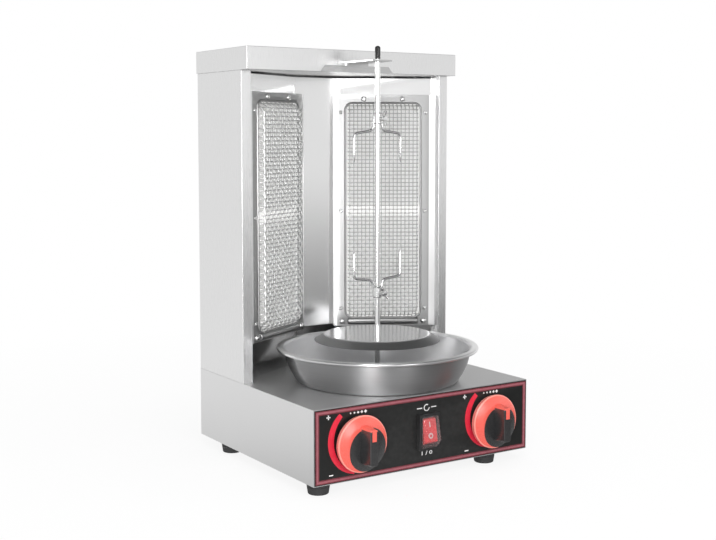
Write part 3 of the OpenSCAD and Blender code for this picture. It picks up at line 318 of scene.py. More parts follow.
def effect(name, inputs, outputs):
    """A new shader node group with its sockets; gives back the group, its input and its output node."""
    made = bpy.data.node_groups.new(name, "ShaderNodeTree")
    for label, kind, value in inputs:
        socket = made.interface.new_socket(name=label, in_out="INPUT", socket_type=kind)
        if value is not None:
            socket.default_value = value
    for label in outputs:
        made.interface.new_socket(name=label, in_out="OUTPUT", socket_type="NodeSocketFloat")
    return made, made.nodes.new("NodeGroupInput").outputs, made.nodes.new("NodeGroupOutput")


def brushed_grain():
    """Streaks along one direction, and broad faint blotches under them."""
    made, start, end = effect(
        "brushed grain",
        (("Vector", "NodeSocketVector", None), ("Stretch", "NodeSocketVector", (900, 900, 12))),
        ("Streaks", "Blotches"),
    )
    pulled = vectors(made, "MULTIPLY", start["Vector"], start["Stretch"])
    streaks = add(made, "ShaderNodeTexNoise", Vector=pulled, Scale=1.0, Detail=4.0, Roughness=0.6)
    blotches = add(
        made, "ShaderNodeTexNoise", Vector=start["Vector"], Scale=11.0, Detail=3.0, Roughness=0.5
    )
    feed(made, end, Streaks=streaks.outputs["Fac"], Blotches=blotches.outputs["Fac"])
    return made


def spun_rings():
    """Fine rings round the Z axis of a centred vector."""
    made, start, end = effect(
        "spun rings",
        (("Vector", "NodeSocketVector", None), ("Fineness", "NodeSocketFloat", 1400.0)),
        ("Rings", "Wide rings"),
    )
    radius = vectors(made, "LENGTH", flattened(made, start["Vector"], ROUND_Z))
    fine = add(made, "ShaderNodeTexNoise", noise_dimensions="1D", W=radius, Detail=3.0)
    feed(made, fine, Scale=start["Fineness"])
    wide = add(made, "ShaderNodeTexNoise", noise_dimensions="1D", W=radius, Scale=160.0, Detail=2.0)
    feed(made, end, Rings=fine.outputs["Fac"], Wide_rings=wide.outputs["Fac"])
    return made


def edge_rub():
    """A mask of outer corners, broken up a little."""
    made, start, end = effect("edge rub", (("Vector", "NodeSocketVector", None),), ("Rub",))
    shape = add(made, "ShaderNodeNewGeometry")
    sharp = mapped(made, shape.outputs["Pointiness"], *CORNERS)
    broken = add(made, "ShaderNodeTexNoise", Vector=start["Vector"], Scale=220.0, Detail=3.0)
    feed(made, end, Rub=maths(made, "MULTIPLY", sharp, broken.outputs["Fac"]))
    return made


def moulded_speckle():
    """A fine even grain, and a slow cloud for colour."""
    made, start, end = effect(
        "moulded speckle",
        (("Vector", "NodeSocketVector", None), ("Fineness", "NodeSocketFloat", 2600.0)),
        ("Grain", "Cloud"),
    )
    grain = add(made, "ShaderNodeTexNoise", Vector=start["Vector"], Scale=start["Fineness"], Detail=2.0)
    cloud = add(made, "ShaderNodeTexNoise", Vector=start["Vector"], Scale=45.0, Detail=3.0)
    feed(made, end, Grain=grain.outputs["Fac"], Cloud=cloud.outputs["Fac"])
    return made


EFFECTS = {
    "grain": brushed_grain(),
    "rings": spun_rings(),
    "rub": edge_rub(),
    "speckle": moulded_speckle(),
}
print("effects:", list(EFFECTS))

# %% [markdown]
# Every finish starts in the same way: a Principled shader, Object coordinates, and a mapping that may
# centre them. Small helpers then do the usual jobs. One turns a mask into a value between two limits,
# for roughness. Two more mix values or colours by a mask, and the last makes a bump.

# %% Start of a finish
MASK_LOW, MASK_HIGH = 0.3, 0.7


def start_finish(name, centre=(0, 0, 0)):
    """A material with its tree, its shader and its centred Object coordinates, in metres."""
    made = bpy.data.materials.new(name)
    made.use_nodes = True
    tree = made.node_tree
    tree.nodes.clear()
    shader = add(tree, "ShaderNodeBsdfPrincipled")
    add(tree, "ShaderNodeOutputMaterial", Surface=shader.outputs[0])
    place = add(tree, "ShaderNodeTexCoord").outputs["Object"]
    mapping = add(tree, "ShaderNodeMapping", vector_type="TEXTURE", Vector=place, Location=centre)
    return made, tree, shader, mapping.outputs["Vector"]


def use_effect(tree, key, vector, **settings):
    """Places a shared effect in a material with its own values."""
    made = add(tree, "ShaderNodeGroup", node_tree=EFFECTS[key], Vector=vector, **settings)
    return made.outputs


def between(tree, mask, low, high):
    """A value that runs from low to high as the mask runs over its middle range."""
    return mapped(tree, mask, MASK_LOW, MASK_HIGH, low, high)


def blend(tree, share, first, second):
    """A value between two values, by a share."""
    made = add(tree, "ShaderNodeMix")
    for spot, value in ((0, share), (2, first), (3, second)):
        put(tree, made.inputs[spot], value)
    return made.outputs[0]


def mixed(tree, mask, first, second):
    """A colour between two colours or two sockets, by a mask."""
    made = add(tree, "ShaderNodeMix", data_type="RGBA", Factor=mask)
    colours = [s for s in made.inputs if s.type == "RGBA"]
    for socket, value in zip(colours, (first, second)):
        put(tree, socket, value if isinstance(value, bpy.types.NodeSocket) else (*value, 1))
    return [s for s in made.outputs if s.type == "RGBA"][0]


def dented(tree, height, depth):
    """A bump from a height mask; depth is how deep the real marks are, in metres."""
    made = add(tree, "ShaderNodeBump", Strength=1.0, Distance=depth, Height=height)
    return made.outputs["Normal"]


# %% [markdown]
# Stainless sheet is the main finish. It is a metal whose colour hardly changes, so the look comes from
# roughness: streaks along the rolling direction, and slow blotches where hands and cloths have been.
# The cabinet's grain runs upright and the base's grain runs along its front, so the finish is a
# function of the stretch. The pan and the plate were spun on a lathe and show rings instead. The rings
# smear each reflection across them, so the pan's shader is anisotropic round its axis. That gives the
# wall a bright middle and darker ends. The outside of the pan's wall and the plate's slanted skirt are
# also painted much darker than the rest of the steel, as painted shade.

# %% Steel finishes
SPIT_CENTRE = (0, SPIT_Y * MM, 0)
PLATE_FLAT_R = 58.0
RIM_START = 102.5
STEEL_TONE = (0.90, 0.90, 0.90)
ALONG_X = (50, 5200, 5200)
UPRIGHT = (5200, 5200, 50)
DRAWN = (300, 300, 900)
BRUSH_DEPTH, SPIN_DEPTH = 0.000003, 0.000008
BLOTCH_TONE, BLOTCH_SHARE = 0.965, 0.3


def sheet_steel(name, tone, low, high, stretch):
    """Brushed stainless sheet; low and high are the limits of its roughness."""
    made, tree, shader, place = start_finish(name)
    grain = use_effect(tree, "grain", place, Stretch=stretch)
    dark = tuple(BLOTCH_TONE * v for v in tone)
    wear = blend(tree, BLOTCH_SHARE, grain["Streaks"], grain["Blotches"])
    feed(
        tree,
        shader,
        Base_Color=mixed(tree, grain["Blotches"], dark, tone),
        Roughness=between(tree, wear, low, high),
        Normal=dented(tree, grain["Streaks"], BRUSH_DEPTH),
        Metallic=1.0,
    )
    return made


def satin_pan(name):
    """Satin spun steel whose outside is painted much darker than its inside, as painted shade; the rolled
    rim is polished.
    """
    made, tree, shader, place = start_finish(name, SPIT_CENTRE)
    rings = use_effect(tree, "rings", place, Fineness=1500.0)
    flat = flattened(tree, place, ROUND_Z)
    normal = add(tree, "ShaderNodeNewGeometry").outputs["Normal"]
    outside = maths(tree, "GREATER_THAN", vectors(tree, "DOT_PRODUCT", flat, normal), 0)
    # Painted shade: the outside of the wall is painted much darker than the same steel inside.
    outer = mixed(tree, rings["Wide rings"], (0.41, 0.41, 0.415), (0.46, 0.46, 0.465))
    inner = mixed(tree, rings["Wide rings"], (0.88, 0.88, 0.89), (0.95, 0.95, 0.96))
    wall = mixed(tree, outside, inner, outer)
    rim = mapped(tree, vectors(tree, "LENGTH", flat), RIM_START * MM, (RIM_START + 1) * MM)
    around = add(tree, "ShaderNodeTangent", direction_type="RADIAL", axis="Z")
    feed(
        tree,
        shader,
        Base_Color=mixed(tree, rim, wall, STEEL_TONE),
        Roughness=blend(tree, rim, between(tree, rings["Rings"], 0.46, 0.54), 0.3),
        Normal=dented(tree, rings["Rings"], SPIN_DEPTH),
        Metallic=1.0,
        Tangent=around.outputs[0],
        Anisotropic=0.85,
        Anisotropic_Rotation=0.25,
    )
    return made


def dished_plate(name):
    """Polished spun steel whose slanted skirt is left satin and painted much darker, as painted shade."""
    made, tree, shader, place = start_finish(name, SPIT_CENTRE)
    rings = use_effect(tree, "rings", place, Fineness=1800.0)
    radius = vectors(tree, "LENGTH", flattened(tree, place, ROUND_Z))
    skirt = mapped(tree, radius, (PLATE_FLAT_R - 1) * MM, (PLATE_FLAT_R + 1) * MM)
    top = mixed(tree, rings["Wide rings"], (0.6, 0.6, 0.61), (0.66, 0.66, 0.67))
    polished = between(tree, rings["Rings"], 0.1, 0.16)
    satin = between(tree, rings["Rings"], 0.34, 0.42)
    feed(
        tree,
        shader,
        # Painted shade: the skirt is painted much darker than the top.
        Base_Color=mixed(tree, skirt, top, (0.34, 0.34, 0.345)),
        Roughness=blend(tree, skirt, polished, satin),
        Normal=dented(tree, rings["Rings"], SPIN_DEPTH),
        Metallic=1.0,
    )
    return made


finish = {
    "base_steel": sheet_steel("base_steel", STEEL_TONE, 0.38, 0.46, ALONG_X),
    "cabinet_steel": sheet_steel("cabinet_steel", STEEL_TONE, 0.25, 0.32, UPRIGHT),
    "liner_steel": sheet_steel("liner_steel", (0.92, 0.92, 0.92), 0.13, 0.19, UPRIGHT),
    "bracket_steel": sheet_steel("bracket_steel", (0.6, 0.6, 0.6), 0.2, 0.3, ALONG_X),
    "pan_steel": satin_pan("pan_steel"),
    "plate_steel": dished_plate("plate_steel"),
    "rod_steel": sheet_steel("rod_steel", STEEL_TONE, 0.1, 0.18, DRAWN),
    "fork_steel": sheet_steel("fork_steel", (0.78, 0.78, 0.78), 0.1, 0.16, DRAWN),
    "screw_steel": sheet_steel("screw_steel", (0.86, 0.86, 0.86), 0.08, 0.14, (700, 700, 700)),
    "inner_steel": sheet_steel("inner_steel", (0.55, 0.55, 0.54), 0.34, 0.48, (500, 500, 60)),
}
print("steel finishes:", len(finish))

# %% [markdown]
# The wire over the burners has been hot. It is the same steel, only duller, and its tone comes and
# goes along the wires. Brass is seen at the back and through the gaps, and has dulled in blotches.

# %% Wire and brass
def cloudy_metal(name, dark, pale, low, high, fineness, depth=0.0):
    """A metal whose tone comes and goes; low and high are the limits of its roughness."""
    made, tree, shader, place = start_finish(name)
    speckle = use_effect(tree, "speckle", place, Fineness=fineness)
    feed(
        tree,
        shader,
        Base_Color=mixed(tree, speckle["Cloud"], dark, pale),
        Roughness=between(tree, speckle["Grain"], low, high),
        Metallic=1.0,
    )
    if depth:
        feed(tree, shader, Normal=dented(tree, speckle["Grain"], depth))
    return made


WIRE_TONES = (0.6, 0.6, 0.595), (0.7, 0.7, 0.7)
BRASS_TONES = (0.52, 0.36, 0.14), (0.74, 0.54, 0.24)
finish["mesh_wire"] = cloudy_metal("mesh_wire", *WIRE_TONES, 0.36, 0.44, 420.0)
finish["brass"] = cloudy_metal("brass", *BRASS_TONES, 0.24, 0.38, 1500.0, 0.00002)
print("finishes:", len(finish))

# %% [markdown]
# The control panel carries a charcoal film with a slight sheen. Knobs, bezel and feet are black, but
# real black plastic reflects about five per cent, so their colour stays above zero. The rocker is a
# clear red, and the splash boot over it is a soft clear cap. A row of the table is a tone, the paler
# tone of rubbed corners and the limits of roughness. Some rows add how deep the grain is and how fine.

# %% Plastic, rubber, paint and print finishes
CLOUD_TONE = 0.82
# Painted light: the joint fibre between the plaques glows, though it is no lamp.
FIBRE_PAINTED_GLOW = 0.4
MOULDED = {
    "motor_paint": ((0.1, 0.1, 0.11), (0.3, 0.3, 0.3), 0.35, 0.5),
    "overlay_film": ((0.008, 0.0085, 0.008), (0.03, 0.03, 0.03), 0.3, 0.36, 0.000004, 5200.0),
    "switch_plastic": ((0.02, 0.02, 0.021), (0.07, 0.07, 0.07), 0.28, 0.4),
    "rocker_plastic": ((0.8, 0.05, 0.06), (0.85, 0.16, 0.16), 0.2, 0.3),
    "foot_rubber": ((0.035, 0.035, 0.036), (0.09, 0.09, 0.09), 0.55, 0.7, 0.00006),
    "tip_plastic": ((0.016, 0.016, 0.016), (0.1, 0.1, 0.1), 0.08, 0.14),
    "gland_plastic": ((0.03, 0.03, 0.03), (0.1, 0.1, 0.1), 0.35, 0.5),
    "block_plastic": ((0.6, 0.58, 0.52), (0.7, 0.68, 0.62), 0.4, 0.5),
    "joint_fibre": ((0.93, 0.92, 0.9), (0.95, 0.94, 0.92), 0.8, 0.9, 0.0002, 900.0),
    "print_pink": ((0.238, 0.072, 0.093), (0.4, 0.12, 0.14), 0.35, 0.45),
    "print_maroon": ((0.13, 0.012, 0.022), (0.2, 0.05, 0.06), 0.35, 0.45),
    "print_red": ((0.68, 0.006, 0.034), (0.72, 0.05, 0.08), 0.32, 0.42),
    "print_white": ((0.78, 0.77, 0.76), (0.8, 0.8, 0.8), 0.35, 0.45),
}


def moulded(name, tone, worn_and_sheen, low, high, depth=0.00003, fineness=2600.0):
    """Moulded plastic, rubber or paint: fine grain, a slow cloud of colour and rubbed corners."""
    made, tree, shader, place = start_finish(name)
    speckle = use_effect(tree, "speckle", place, Fineness=fineness)
    rub = use_effect(tree, "rub", place)
    cloud = mixed(tree, speckle["Cloud"], tuple(CLOUD_TONE * v for v in tone), tone)
    feed(
        tree,
        shader,
        Base_Color=mixed(tree, rub["Rub"], cloud, worn_and_sheen),
        Roughness=between(tree, speckle["Grain"], low, high),
        Normal=dented(tree, speckle["Grain"], depth),
    )
    return made


def clear_boot(name):
    """A soft cap, clear with a little pink milk in it."""
    made, tree, shader, place = start_finish(name)
    speckle = use_effect(tree, "speckle", place, Fineness=900.0)
    feed(
        tree,
        shader,
        Base_Color=mixed(tree, speckle["Cloud"], (0.96, 0.8, 0.8), (1.0, 0.86, 0.86)),
        Roughness=between(tree, speckle["Grain"], 0.06, 0.14),
        Transmission_Weight=0.95,
        IOR=1.12,
    )
    return made


for name, look in MOULDED.items():
    finish[name] = moulded(name, *look)
finish["boot_rubber"] = clear_boot("boot_rubber")
# Painted light: the joint fibre glows white, so that its pale band shows behind the wire.
fibre = finish["joint_fibre"].node_tree
feed(fibre, fibre.nodes["Principled BSDF"], Emission_Color=WHITE, Emission_Strength=FIBRE_PAINTED_GLOW)
print("finishes:", len(finish))

# %% [markdown]
# A burner's plaque is pale ceramic with a field of small holes. The holes are painted a little darker,
# as painted shade, and the plaque glows faintly, as painted light. Both plaques share one finish: the
# distance from the middle of the grill replaces X, so that left and right read the same pattern, and
# a turn by the burner's angle lays the pattern flat on the slanted face. The frames use the same
# coordinates: their face is painted dark, as painted shade, and their flanges are painted bright, as
# a painted highlight.

# %% Burner finishes
FRAME_IN, FRAME_Y, FRAME_W = 23.3, 85.888, 107.6
BURNER_TURN = math.radians(30)
HOLE_PITCH, HOLE_DEPTH, HOLE_EDGE = 1.9, 0.0006, ((0.26, 0.0), (0.36, 1.0))
# Painted light: the plaques glow faintly, though they are no lamp.
PLAQUE_PAINTED_GLOW = 0.18
FLANGE_START = 0.3


def burner_face(tree, place):
    """Coordinates on the slanted face of either burner: X along the face, Y into it."""
    axes = split(tree, place)
    away = maths(tree, "ABSOLUTE", axes["X"])
    folded = add(tree, "ShaderNodeCombineXYZ", X=away, Y=axes["Y"], Z=axes["Z"])
    turned_flat = add(
        tree,
        "ShaderNodeMapping",
        vector_type="TEXTURE",
        Vector=folded.outputs[0],
        Location=(FRAME_IN * MM, FRAME_Y * MM, 0),
        Rotation=(0, 0, -BURNER_TURN),
    )
    return turned_flat.outputs["Vector"]


def plaque_ceramic(name):
    """Pale ceramic with rows of holes painted darker as painted shade, laid on the slanted face of either
    burner; it glows faintly as painted light.
    """
    made, tree, shader, place = start_finish(name)
    face = flattened(tree, burner_face(tree, place), ROUND_Y)
    holes = add(tree, "ShaderNodeTexVoronoi", Vector=face, Scale=1 / (HOLE_PITCH * MM), Randomness=0.0)
    depth = ramp(tree, holes.outputs["Distance"], *HOLE_EDGE)
    speckle = use_effect(tree, "speckle", place)
    body = mixed(tree, speckle["Cloud"], (0.9, 0.9, 0.89), (0.95, 0.95, 0.94))
    # Painted shade: the holes are painted a little darker than the ceramic.
    plaque_tone_with_painted_hole_shade = mixed(tree, depth, (0.8, 0.8, 0.79), body)
    feed(
        tree,
        shader,
        Base_Color=plaque_tone_with_painted_hole_shade,
        # Painted light: the plaque glows faintly in its own colour.
        Emission_Color=plaque_tone_with_painted_hole_shade,
        Emission_Strength=PLAQUE_PAINTED_GLOW,
        Normal=dented(tree, depth, HOLE_DEPTH),
        Roughness=between(tree, speckle["Grain"], 0.75, 0.9),
    )
    return made


def pressed_frame(name):
    """Ground steel whose face is painted dark as painted shade, and whose flanges on both sides of the face
    are painted bright as a painted highlight.
    """
    made, tree, shader, place = start_finish(name)
    grain = use_effect(tree, "grain", place, Stretch=UPRIGHT)
    along = split(tree, burner_face(tree, place))["X"]
    away = maths(tree, "ABSOLUTE", maths(tree, "SUBTRACT", along, FRAME_W / 2 * MM))
    flange = maths(tree, "GREATER_THAN", away, (FRAME_W / 2 + FLANGE_START) * MM)
    # Painted shade: the frame's face is painted dark.
    frame_face_painted_shade = mixed(tree, grain["Blotches"], (0.34, 0.34, 0.34), (0.38, 0.38, 0.38))
    feed(
        tree,
        shader,
        # Painted highlight: the flanges are painted bright.
        Base_Color=mixed(tree, flange, frame_face_painted_shade, (0.82, 0.82, 0.82)),
        Roughness=between(tree, grain["Streaks"], 0.28, 0.36),
        Normal=dented(tree, grain["Streaks"], BRUSH_DEPTH),
        Metallic=1.0,
    )
    return made


finish["burner_ceramic"] = plaque_ceramic("burner_ceramic")
finish["frame_steel"] = pressed_frame("frame_steel")
print("finishes:", len(finish))

# %% [markdown]
# A few habits of the bench. Only the piece in hand is selected, because an operator acts on all that
# is selected. Faces and edges are picked by where they are. A bevel with an angle limit softens the
# corners of a finished shape, so that each edge catches a thin line of light.

# %% Bench habits
def take(piece):
    """Selects one piece alone and makes it active, in object mode."""
    if bpy.context.mode != "OBJECT":
        bpy.ops.object.mode_set(mode="OBJECT")
    bpy.ops.object.select_all(action="DESELECT")
    piece.select_set(True)
    bpy.context.view_layer.objects.active = piece
    return piece


def open_up(piece, kind="FACE", action="DESELECT"):
    """Edit mode on one piece with nothing selected, or all of it."""
    take(piece)
    bpy.ops.object.mode_set(mode="EDIT")
    bpy.ops.mesh.select_mode(type=kind)
    bpy.ops.mesh.select_all(action=action)


def close_up():
    """Back to object mode."""
    bpy.ops.object.mode_set(mode="OBJECT")


def pick(kind, test):
    """In edit mode, selects the verts, edges or faces whose middle, in millimetres, passes a test."""
    bpy.ops.mesh.select_all(action="DESELECT")
    mesh = bpy.context.object.data
    form = bmesh.from_edit_mesh(mesh)
    for part in getattr(form, kind):
        if kind == "verts":
            middle = part.co
        elif kind == "edges":
            middle = (part.verts[0].co + part.verts[1].co) / 2
        else:
            middle = part.calc_center_median()
        if test(middle / MM, part):
            part.select_set(True)
    form.select_flush_mode()
    bmesh.update_edit_mesh(mesh)


def pull(step):
    """In edit mode, extrudes what is selected along a step in millimetres."""
    bpy.ops.mesh.extrude_region_move(TRANSFORM_OT_translate={"value": Vector(step) * MM})


def settle(piece, place=None, turn=None):
    """Moves a piece by millimetres, turns it, and then puts its object back at the origin."""
    if place is not None:
        piece.location = Vector(place) * MM
    if turn is not None:
        piece.rotation_euler = turn
    take(piece)
    bpy.ops.object.transform_apply(location=True, rotation=True, scale=True)
    return piece


def named(name):
    """Names the piece that an operator has just added."""
    piece = bpy.context.object
    piece.name = name
    piece.data.name = name
    return piece


def started(name, operator, **settings):
    """A piece that one of Blender's own shapes starts."""
    bpy.ops.object.select_all(action="DESELECT")
    operator(**settings)
    return named(name)


def block(name, low, high):
    """A box between two corners, in millimetres, as the start of a piece."""
    low, high = Vector(low) * MM, Vector(high) * MM
    cube = bpy.ops.mesh.primitive_cube_add
    return settle(started(name, cube, size=1, location=(low + high) / 2, scale=high - low))


def upright_plane(name, middle, width, height):
    """A plane that faces the front, in edit mode with its face selected."""
    piece = started(name, bpy.ops.mesh.primitive_plane_add, size=1)
    piece.scale = Vector((width, height, 1)) * MM
    settle(piece, middle, (math.pi / 2, 0, 0))
    open_up(piece, "FACE", "SELECT")
    return piece


def apply_all(piece):
    """Applies every modifier of a piece, in order."""
    take(piece)
    for step in [m.name for m in piece.modifiers]:
        bpy.ops.object.modifier_apply(modifier=step)
    return piece


def smooth(angle):
    """Shades the selected piece smooth wherever its faces meet at less than an angle."""
    bpy.ops.object.shade_smooth_by_angle(angle=math.radians(angle))


def soften(piece, width, segments=2, angle=32):
    """Rounds the corners sharper than an angle; weighted normals keep the large faces flat."""
    edge = piece.modifiers.new("soft edges", "BEVEL")
    edge.width = width * MM
    edge.segments = segments
    edge.limit_method = "ANGLE"
    edge.angle_limit = math.radians(angle)
    apply_all(piece)
    bpy.ops.object.shade_smooth()
    flats = piece.modifiers.new("flat faces", "WEIGHTED_NORMAL")
    flats.weight = 100
    return apply_all(piece)


def thicken(piece, wall, side=0):
    """Gives a sheet its thickness; side -1, 0 or 1 says where the modelled face lies."""
    grow = piece.modifiers.new("sheet", "SOLIDIFY")
    grow.thickness = wall * MM
    grow.offset = side
    return apply_all(piece)


def tidy_skin(piece):
    """Merges doubles and turns all faces outwards."""
    open_up(piece, "VERT", "SELECT")
    bpy.ops.mesh.remove_doubles(threshold=0.004 * MM)
    bpy.ops.mesh.normals_make_consistent(inside=False)
    close_up()
    return piece


def joined(name, pieces):
    """One piece out of several."""
    take(pieces[0])
    for piece in pieces[1:]:
        piece.select_set(True)
    bpy.ops.object.join()
    return named(name)


def copied(piece, name):
    """A copy with a mesh of its own."""
    twin = bpy.data.objects.new(name, piece.data.copy())
    twin.data.name = name
    bpy.context.scene.collection.objects.link(twin)
    return twin


def mirrored(piece, name):
    """The left-hand copy of a right-hand piece."""
    twin = copied(piece, name)
    twin.scale.x = -1
    settle(twin)
    tidy_skin(twin)
    return twin


def hand_over(piece, body, key, slot, *stands_for):
    """Gives a finished piece its finish, its body and the solids that it stands for; slot is not used."""
    piece.data.materials.clear()
    piece.data.materials.append(finish[key])
    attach(piece, body)
    if stands_for:
        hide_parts(*stands_for)
    print(piece.name, "faces:", len(piece.data.polygons), "on", body)
    return piece


# %% [markdown]
# Turned pieces, such as the pan, the plate, the knobs and the feet, are an outline spun round an axis.
# The outline starts as a plane merged to one point, and the point is extruded along the radius and
# height pairs. After the spin the first and last seam are merged, and the faces are turned outwards.

# %% Lathe
UP, FORWARD, BACKWARD = 0, math.pi / 2, -math.pi / 2


def turned(name, outline, place=(0, 0, 0), lean=UP, steps=72):
    """Spins an outline of (radius, height) points; lean lays the axis to the front or the back."""
    piece = started(name, bpy.ops.mesh.primitive_plane_add, size=MM)
    open_up(piece, "VERT", "SELECT")
    bpy.ops.mesh.merge(type="CENTER")
    radius, rise = outline[0]
    bpy.ops.transform.translate(value=Vector((radius, 0, rise)) * MM)
    for before, after in zip(outline, outline[1:]):
        pull((after[0] - before[0], 0, after[1] - before[1]))
    bpy.ops.mesh.select_all(action="SELECT")
    bpy.ops.mesh.spin(steps=steps, angle=2 * math.pi, center=(0, 0, 0), axis=(0, 0, 1))
    close_up()
    tidy_skin(piece)
    settle(piece, place, (lean, 0, 0))
    smooth(32)
    return piece


def arc(middle, radius, first, last, steps):
    """Points on an arc from one angle to another, in degrees."""
    angles = [math.radians(first + (last - first) * i / steps) for i in range(steps + 1)]
    return [(middle[0] + radius * math.cos(a), middle[1] + radius * math.sin(a)) for a in angles]


# %% [markdown]
# The cabinet and the base are folded sheet. Their solids already have every fold, lip and hole, so a
# copy of each is merged, cleaned of its triangles and given the small rolled edge that sheet has after
# cutting and folding. Modelling them again from a cube would only repeat the same planes.

# %% Folded sheet
def bench_copy(node, name):
    """A copy of a solid's mesh, merged and freed of flat triangles."""
    piece = copied(nodes[node], name)
    take(piece)
    bpy.ops.mesh.customdata_custom_splitnormals_clear()
    open_up(piece, "VERT", "SELECT")
    bpy.ops.mesh.remove_doubles(threshold=0.002 * MM)
    bpy.ops.mesh.dissolve_limited(angle_limit=math.radians(0.4))
    close_up()
    return piece


SHEET_PIECES = (
    ("base_shell", "base_steel", 0.4),
    ("base_floor", "base_steel", 0.25),
    ("left_side_panel", "cabinet_steel", 0.4),
    ("right_side_panel", "cabinet_steel", 0.4),
    ("back_panel", "cabinet_steel", 0.3),
    ("inner_liner", "liner_steel", 0.3),
    ("ceiling_plate", "cabinet_steel", 0.3),
    ("top_cap", "cabinet_steel", 0.4),
)
for node, key, edge in SHEET_PIECES:
    sheet_piece = soften(bench_copy(node, node + "_sheet"), edge)
    hand_over(sheet_piece, "root", key, "satin_steel", node)

# %% [markdown]
# The bracket on the cap is thicker strip, bent forward to guide the top of the rod. It gets the same
# treatment with a rounder edge.

# %% Spit bracket
bracket = soften(bench_copy("spit_bracket", "spit_bracket_strip"), 0.45, 3)
hand_over(bracket, "root", "bracket_steel", "polished_steel", "spit_bracket")

# %% [markdown]
# A burner frame is one pressing: a flat face with a rounded window, a raised lip round the window, a
# slanted flange along each side and walls that go back to the liner. It starts as a plane at the frame's
# size. Insets make the margin and the lip, a vertex bevel rounds the window's corners, and the walls
# are edges pulled back. The work is done flat at the origin and then turned onto the burner.

# %% Burner frames
FRAME_LOW, FRAME_HIGH = 127.0, 398.0
MIDDLE_Z = (FRAME_LOW + FRAME_HIGH) / 2
NEAR = 0.01
FRAME_DEPTH, SHEET = 9.3, 1.0
FRAME_FLANGE, FLANGE_FALL = (4.7, 9.5), 1.4
WINDOW_MARGIN, WINDOW_ROUND = 10.8, 7.0
LIP_W, LIP_H = 2.5, 1.5
BEAD_R, BEAD_Z, BEAD_START = 4.2, 132.3, 12.2


def onto_burner(piece):
    """Moves a piece that was made flat onto the right-hand burner."""
    return settle(piece, (FRAME_IN, FRAME_Y, 0), (0, 0, -BURNER_TURN))


def frame_pressing(name):
    """The pressed face with its window, lip and walls, flat at the origin."""
    middle = Vector((FRAME_W / 2, 0, MIDDLE_Z))
    piece = upright_plane(name, middle, FRAME_W, FRAME_HIGH - FRAME_LOW)
    bpy.ops.mesh.inset(thickness=(WINDOW_MARGIN - LIP_W) * MM)
    corners = WINDOW_ROUND + LIP_W
    bpy.ops.mesh.bevel(affect="VERTICES", offset=corners * MM, segments=7, profile=0.5)
    pick("faces", lambda at, face: (at - middle).length < WINDOW_MARGIN)
    climb = [math.radians(180 - 30 * i) for i in range(7)]
    for before, after in zip(climb, climb[1:]):
        aside = (math.cos(after) - math.cos(before)) * LIP_W / 2
        rise = (math.sin(after) - math.sin(before)) * LIP_H
        bpy.ops.mesh.inset(thickness=aside * MM, depth=rise * MM)
    bpy.ops.mesh.delete(type="FACE")
    inner, outer = FRAME_FLANGE
    for side_x, reach in ((0, -inner), (FRAME_W, outer)):
        bpy.ops.mesh.select_mode(type="EDGE")
        pick("edges", lambda at, edge: abs(at.x - side_x) < NEAR)
        for aside, back in ((reach, FLANGE_FALL), (0, FRAME_DEPTH - FLANGE_FALL)):
            pull((aside, back, 0))
    for level in (FRAME_LOW, FRAME_HIGH):
        pick(
            "edges",
            lambda at, edge: abs(at.z - level) < NEAR and abs(at.y) < NEAR and edge.is_boundary,
        )
        pull((0, FRAME_DEPTH, 0))
    close_up()
    thicken(piece, SHEET, -1)
    return soften(piece, 0.25)


def bead_roll(name):
    """The rolled lip below the window: a bar with round ends, half sunk into the frame."""
    length = FRAME_W - 2 * BEAD_START
    ends = 1.6
    outline = [(0, 0)] + [
        (BEAD_R - ends + ends * math.sin(math.radians(a)), ends - ends * math.cos(math.radians(a)))
        for a in range(0, 91, 18)
    ]
    far = [(radius, length - rise) for radius, rise in reversed(outline)]
    piece = turned(name, outline + far, steps=32)
    return settle(piece, (BEAD_START, SHEET, BEAD_Z), (0, math.pi / 2, 0))


right_frame = joined("right_burner_pressing", [frame_pressing("pressing"), bead_roll("bead")])
onto_burner(right_frame)
left_frame = mirrored(right_frame, "left_burner_pressing")
hand_over(right_frame, "root", "frame_steel", "satin_steel", "right_burner_frame")
hand_over(left_frame, "root", "frame_steel", "satin_steel", "left_burner_frame")

# %% [markdown]
# The guard in front of the ceramic is woven wire. Over and under is a wave, so one period of one wire
# is extruded ring by ring, an array repeats it along the wire, and a second array repeats a pair of
# wires across the window. The flat cloth is then pushed forward into a shallow basket: a vertex group
# holds how far each point goes, and a displace modifier moves it.

# %% Woven guards
WARP_PITCH, WEFT_PITCH = 4.62, 4.46
WIRE_R = 0.7
WARP_WAVE, WEFT_WAVE = 0.5, 0.9
WIRE_SIDES, WAVE_STEPS = 6, 4
GUARD_LAP = 2.5
GUARD_FRONT, GUARD_BACK = -7.2, 1.2
GUARD_ROUND = 13.0
SLOPE_START, SLOPE_W = -0.6, 5.2
WINDOW_W = FRAME_W - 2 * WINDOW_MARGIN
WINDOW_H = FRAME_HIGH - FRAME_LOW - 2 * WINDOW_MARGIN


def wave_wire(name, pitch, phase, upright):
    """One period of a wire that goes over one crossing and under the next."""
    circle = bpy.ops.mesh.primitive_circle_add
    piece = started(name, circle, vertices=WIRE_SIDES, radius=WIRE_R * MM)
    settle(piece, turn=(0, 0, 0) if upright else (0, math.pi / 2, 0))
    open_up(piece, "VERT", "SELECT")
    height = WARP_WAVE if upright else WEFT_WAVE
    wave = [height * math.sin(phase + i * math.pi / WAVE_STEPS) for i in range(2 * WAVE_STEPS + 1)]
    bpy.ops.transform.translate(value=(0, wave[0] * MM, 0))
    for before, after in zip(wave, wave[1:]):
        ahead = pitch / WAVE_STEPS
        pull((0, after - before, ahead) if upright else (ahead, after - before, 0))
    close_up()
    return piece


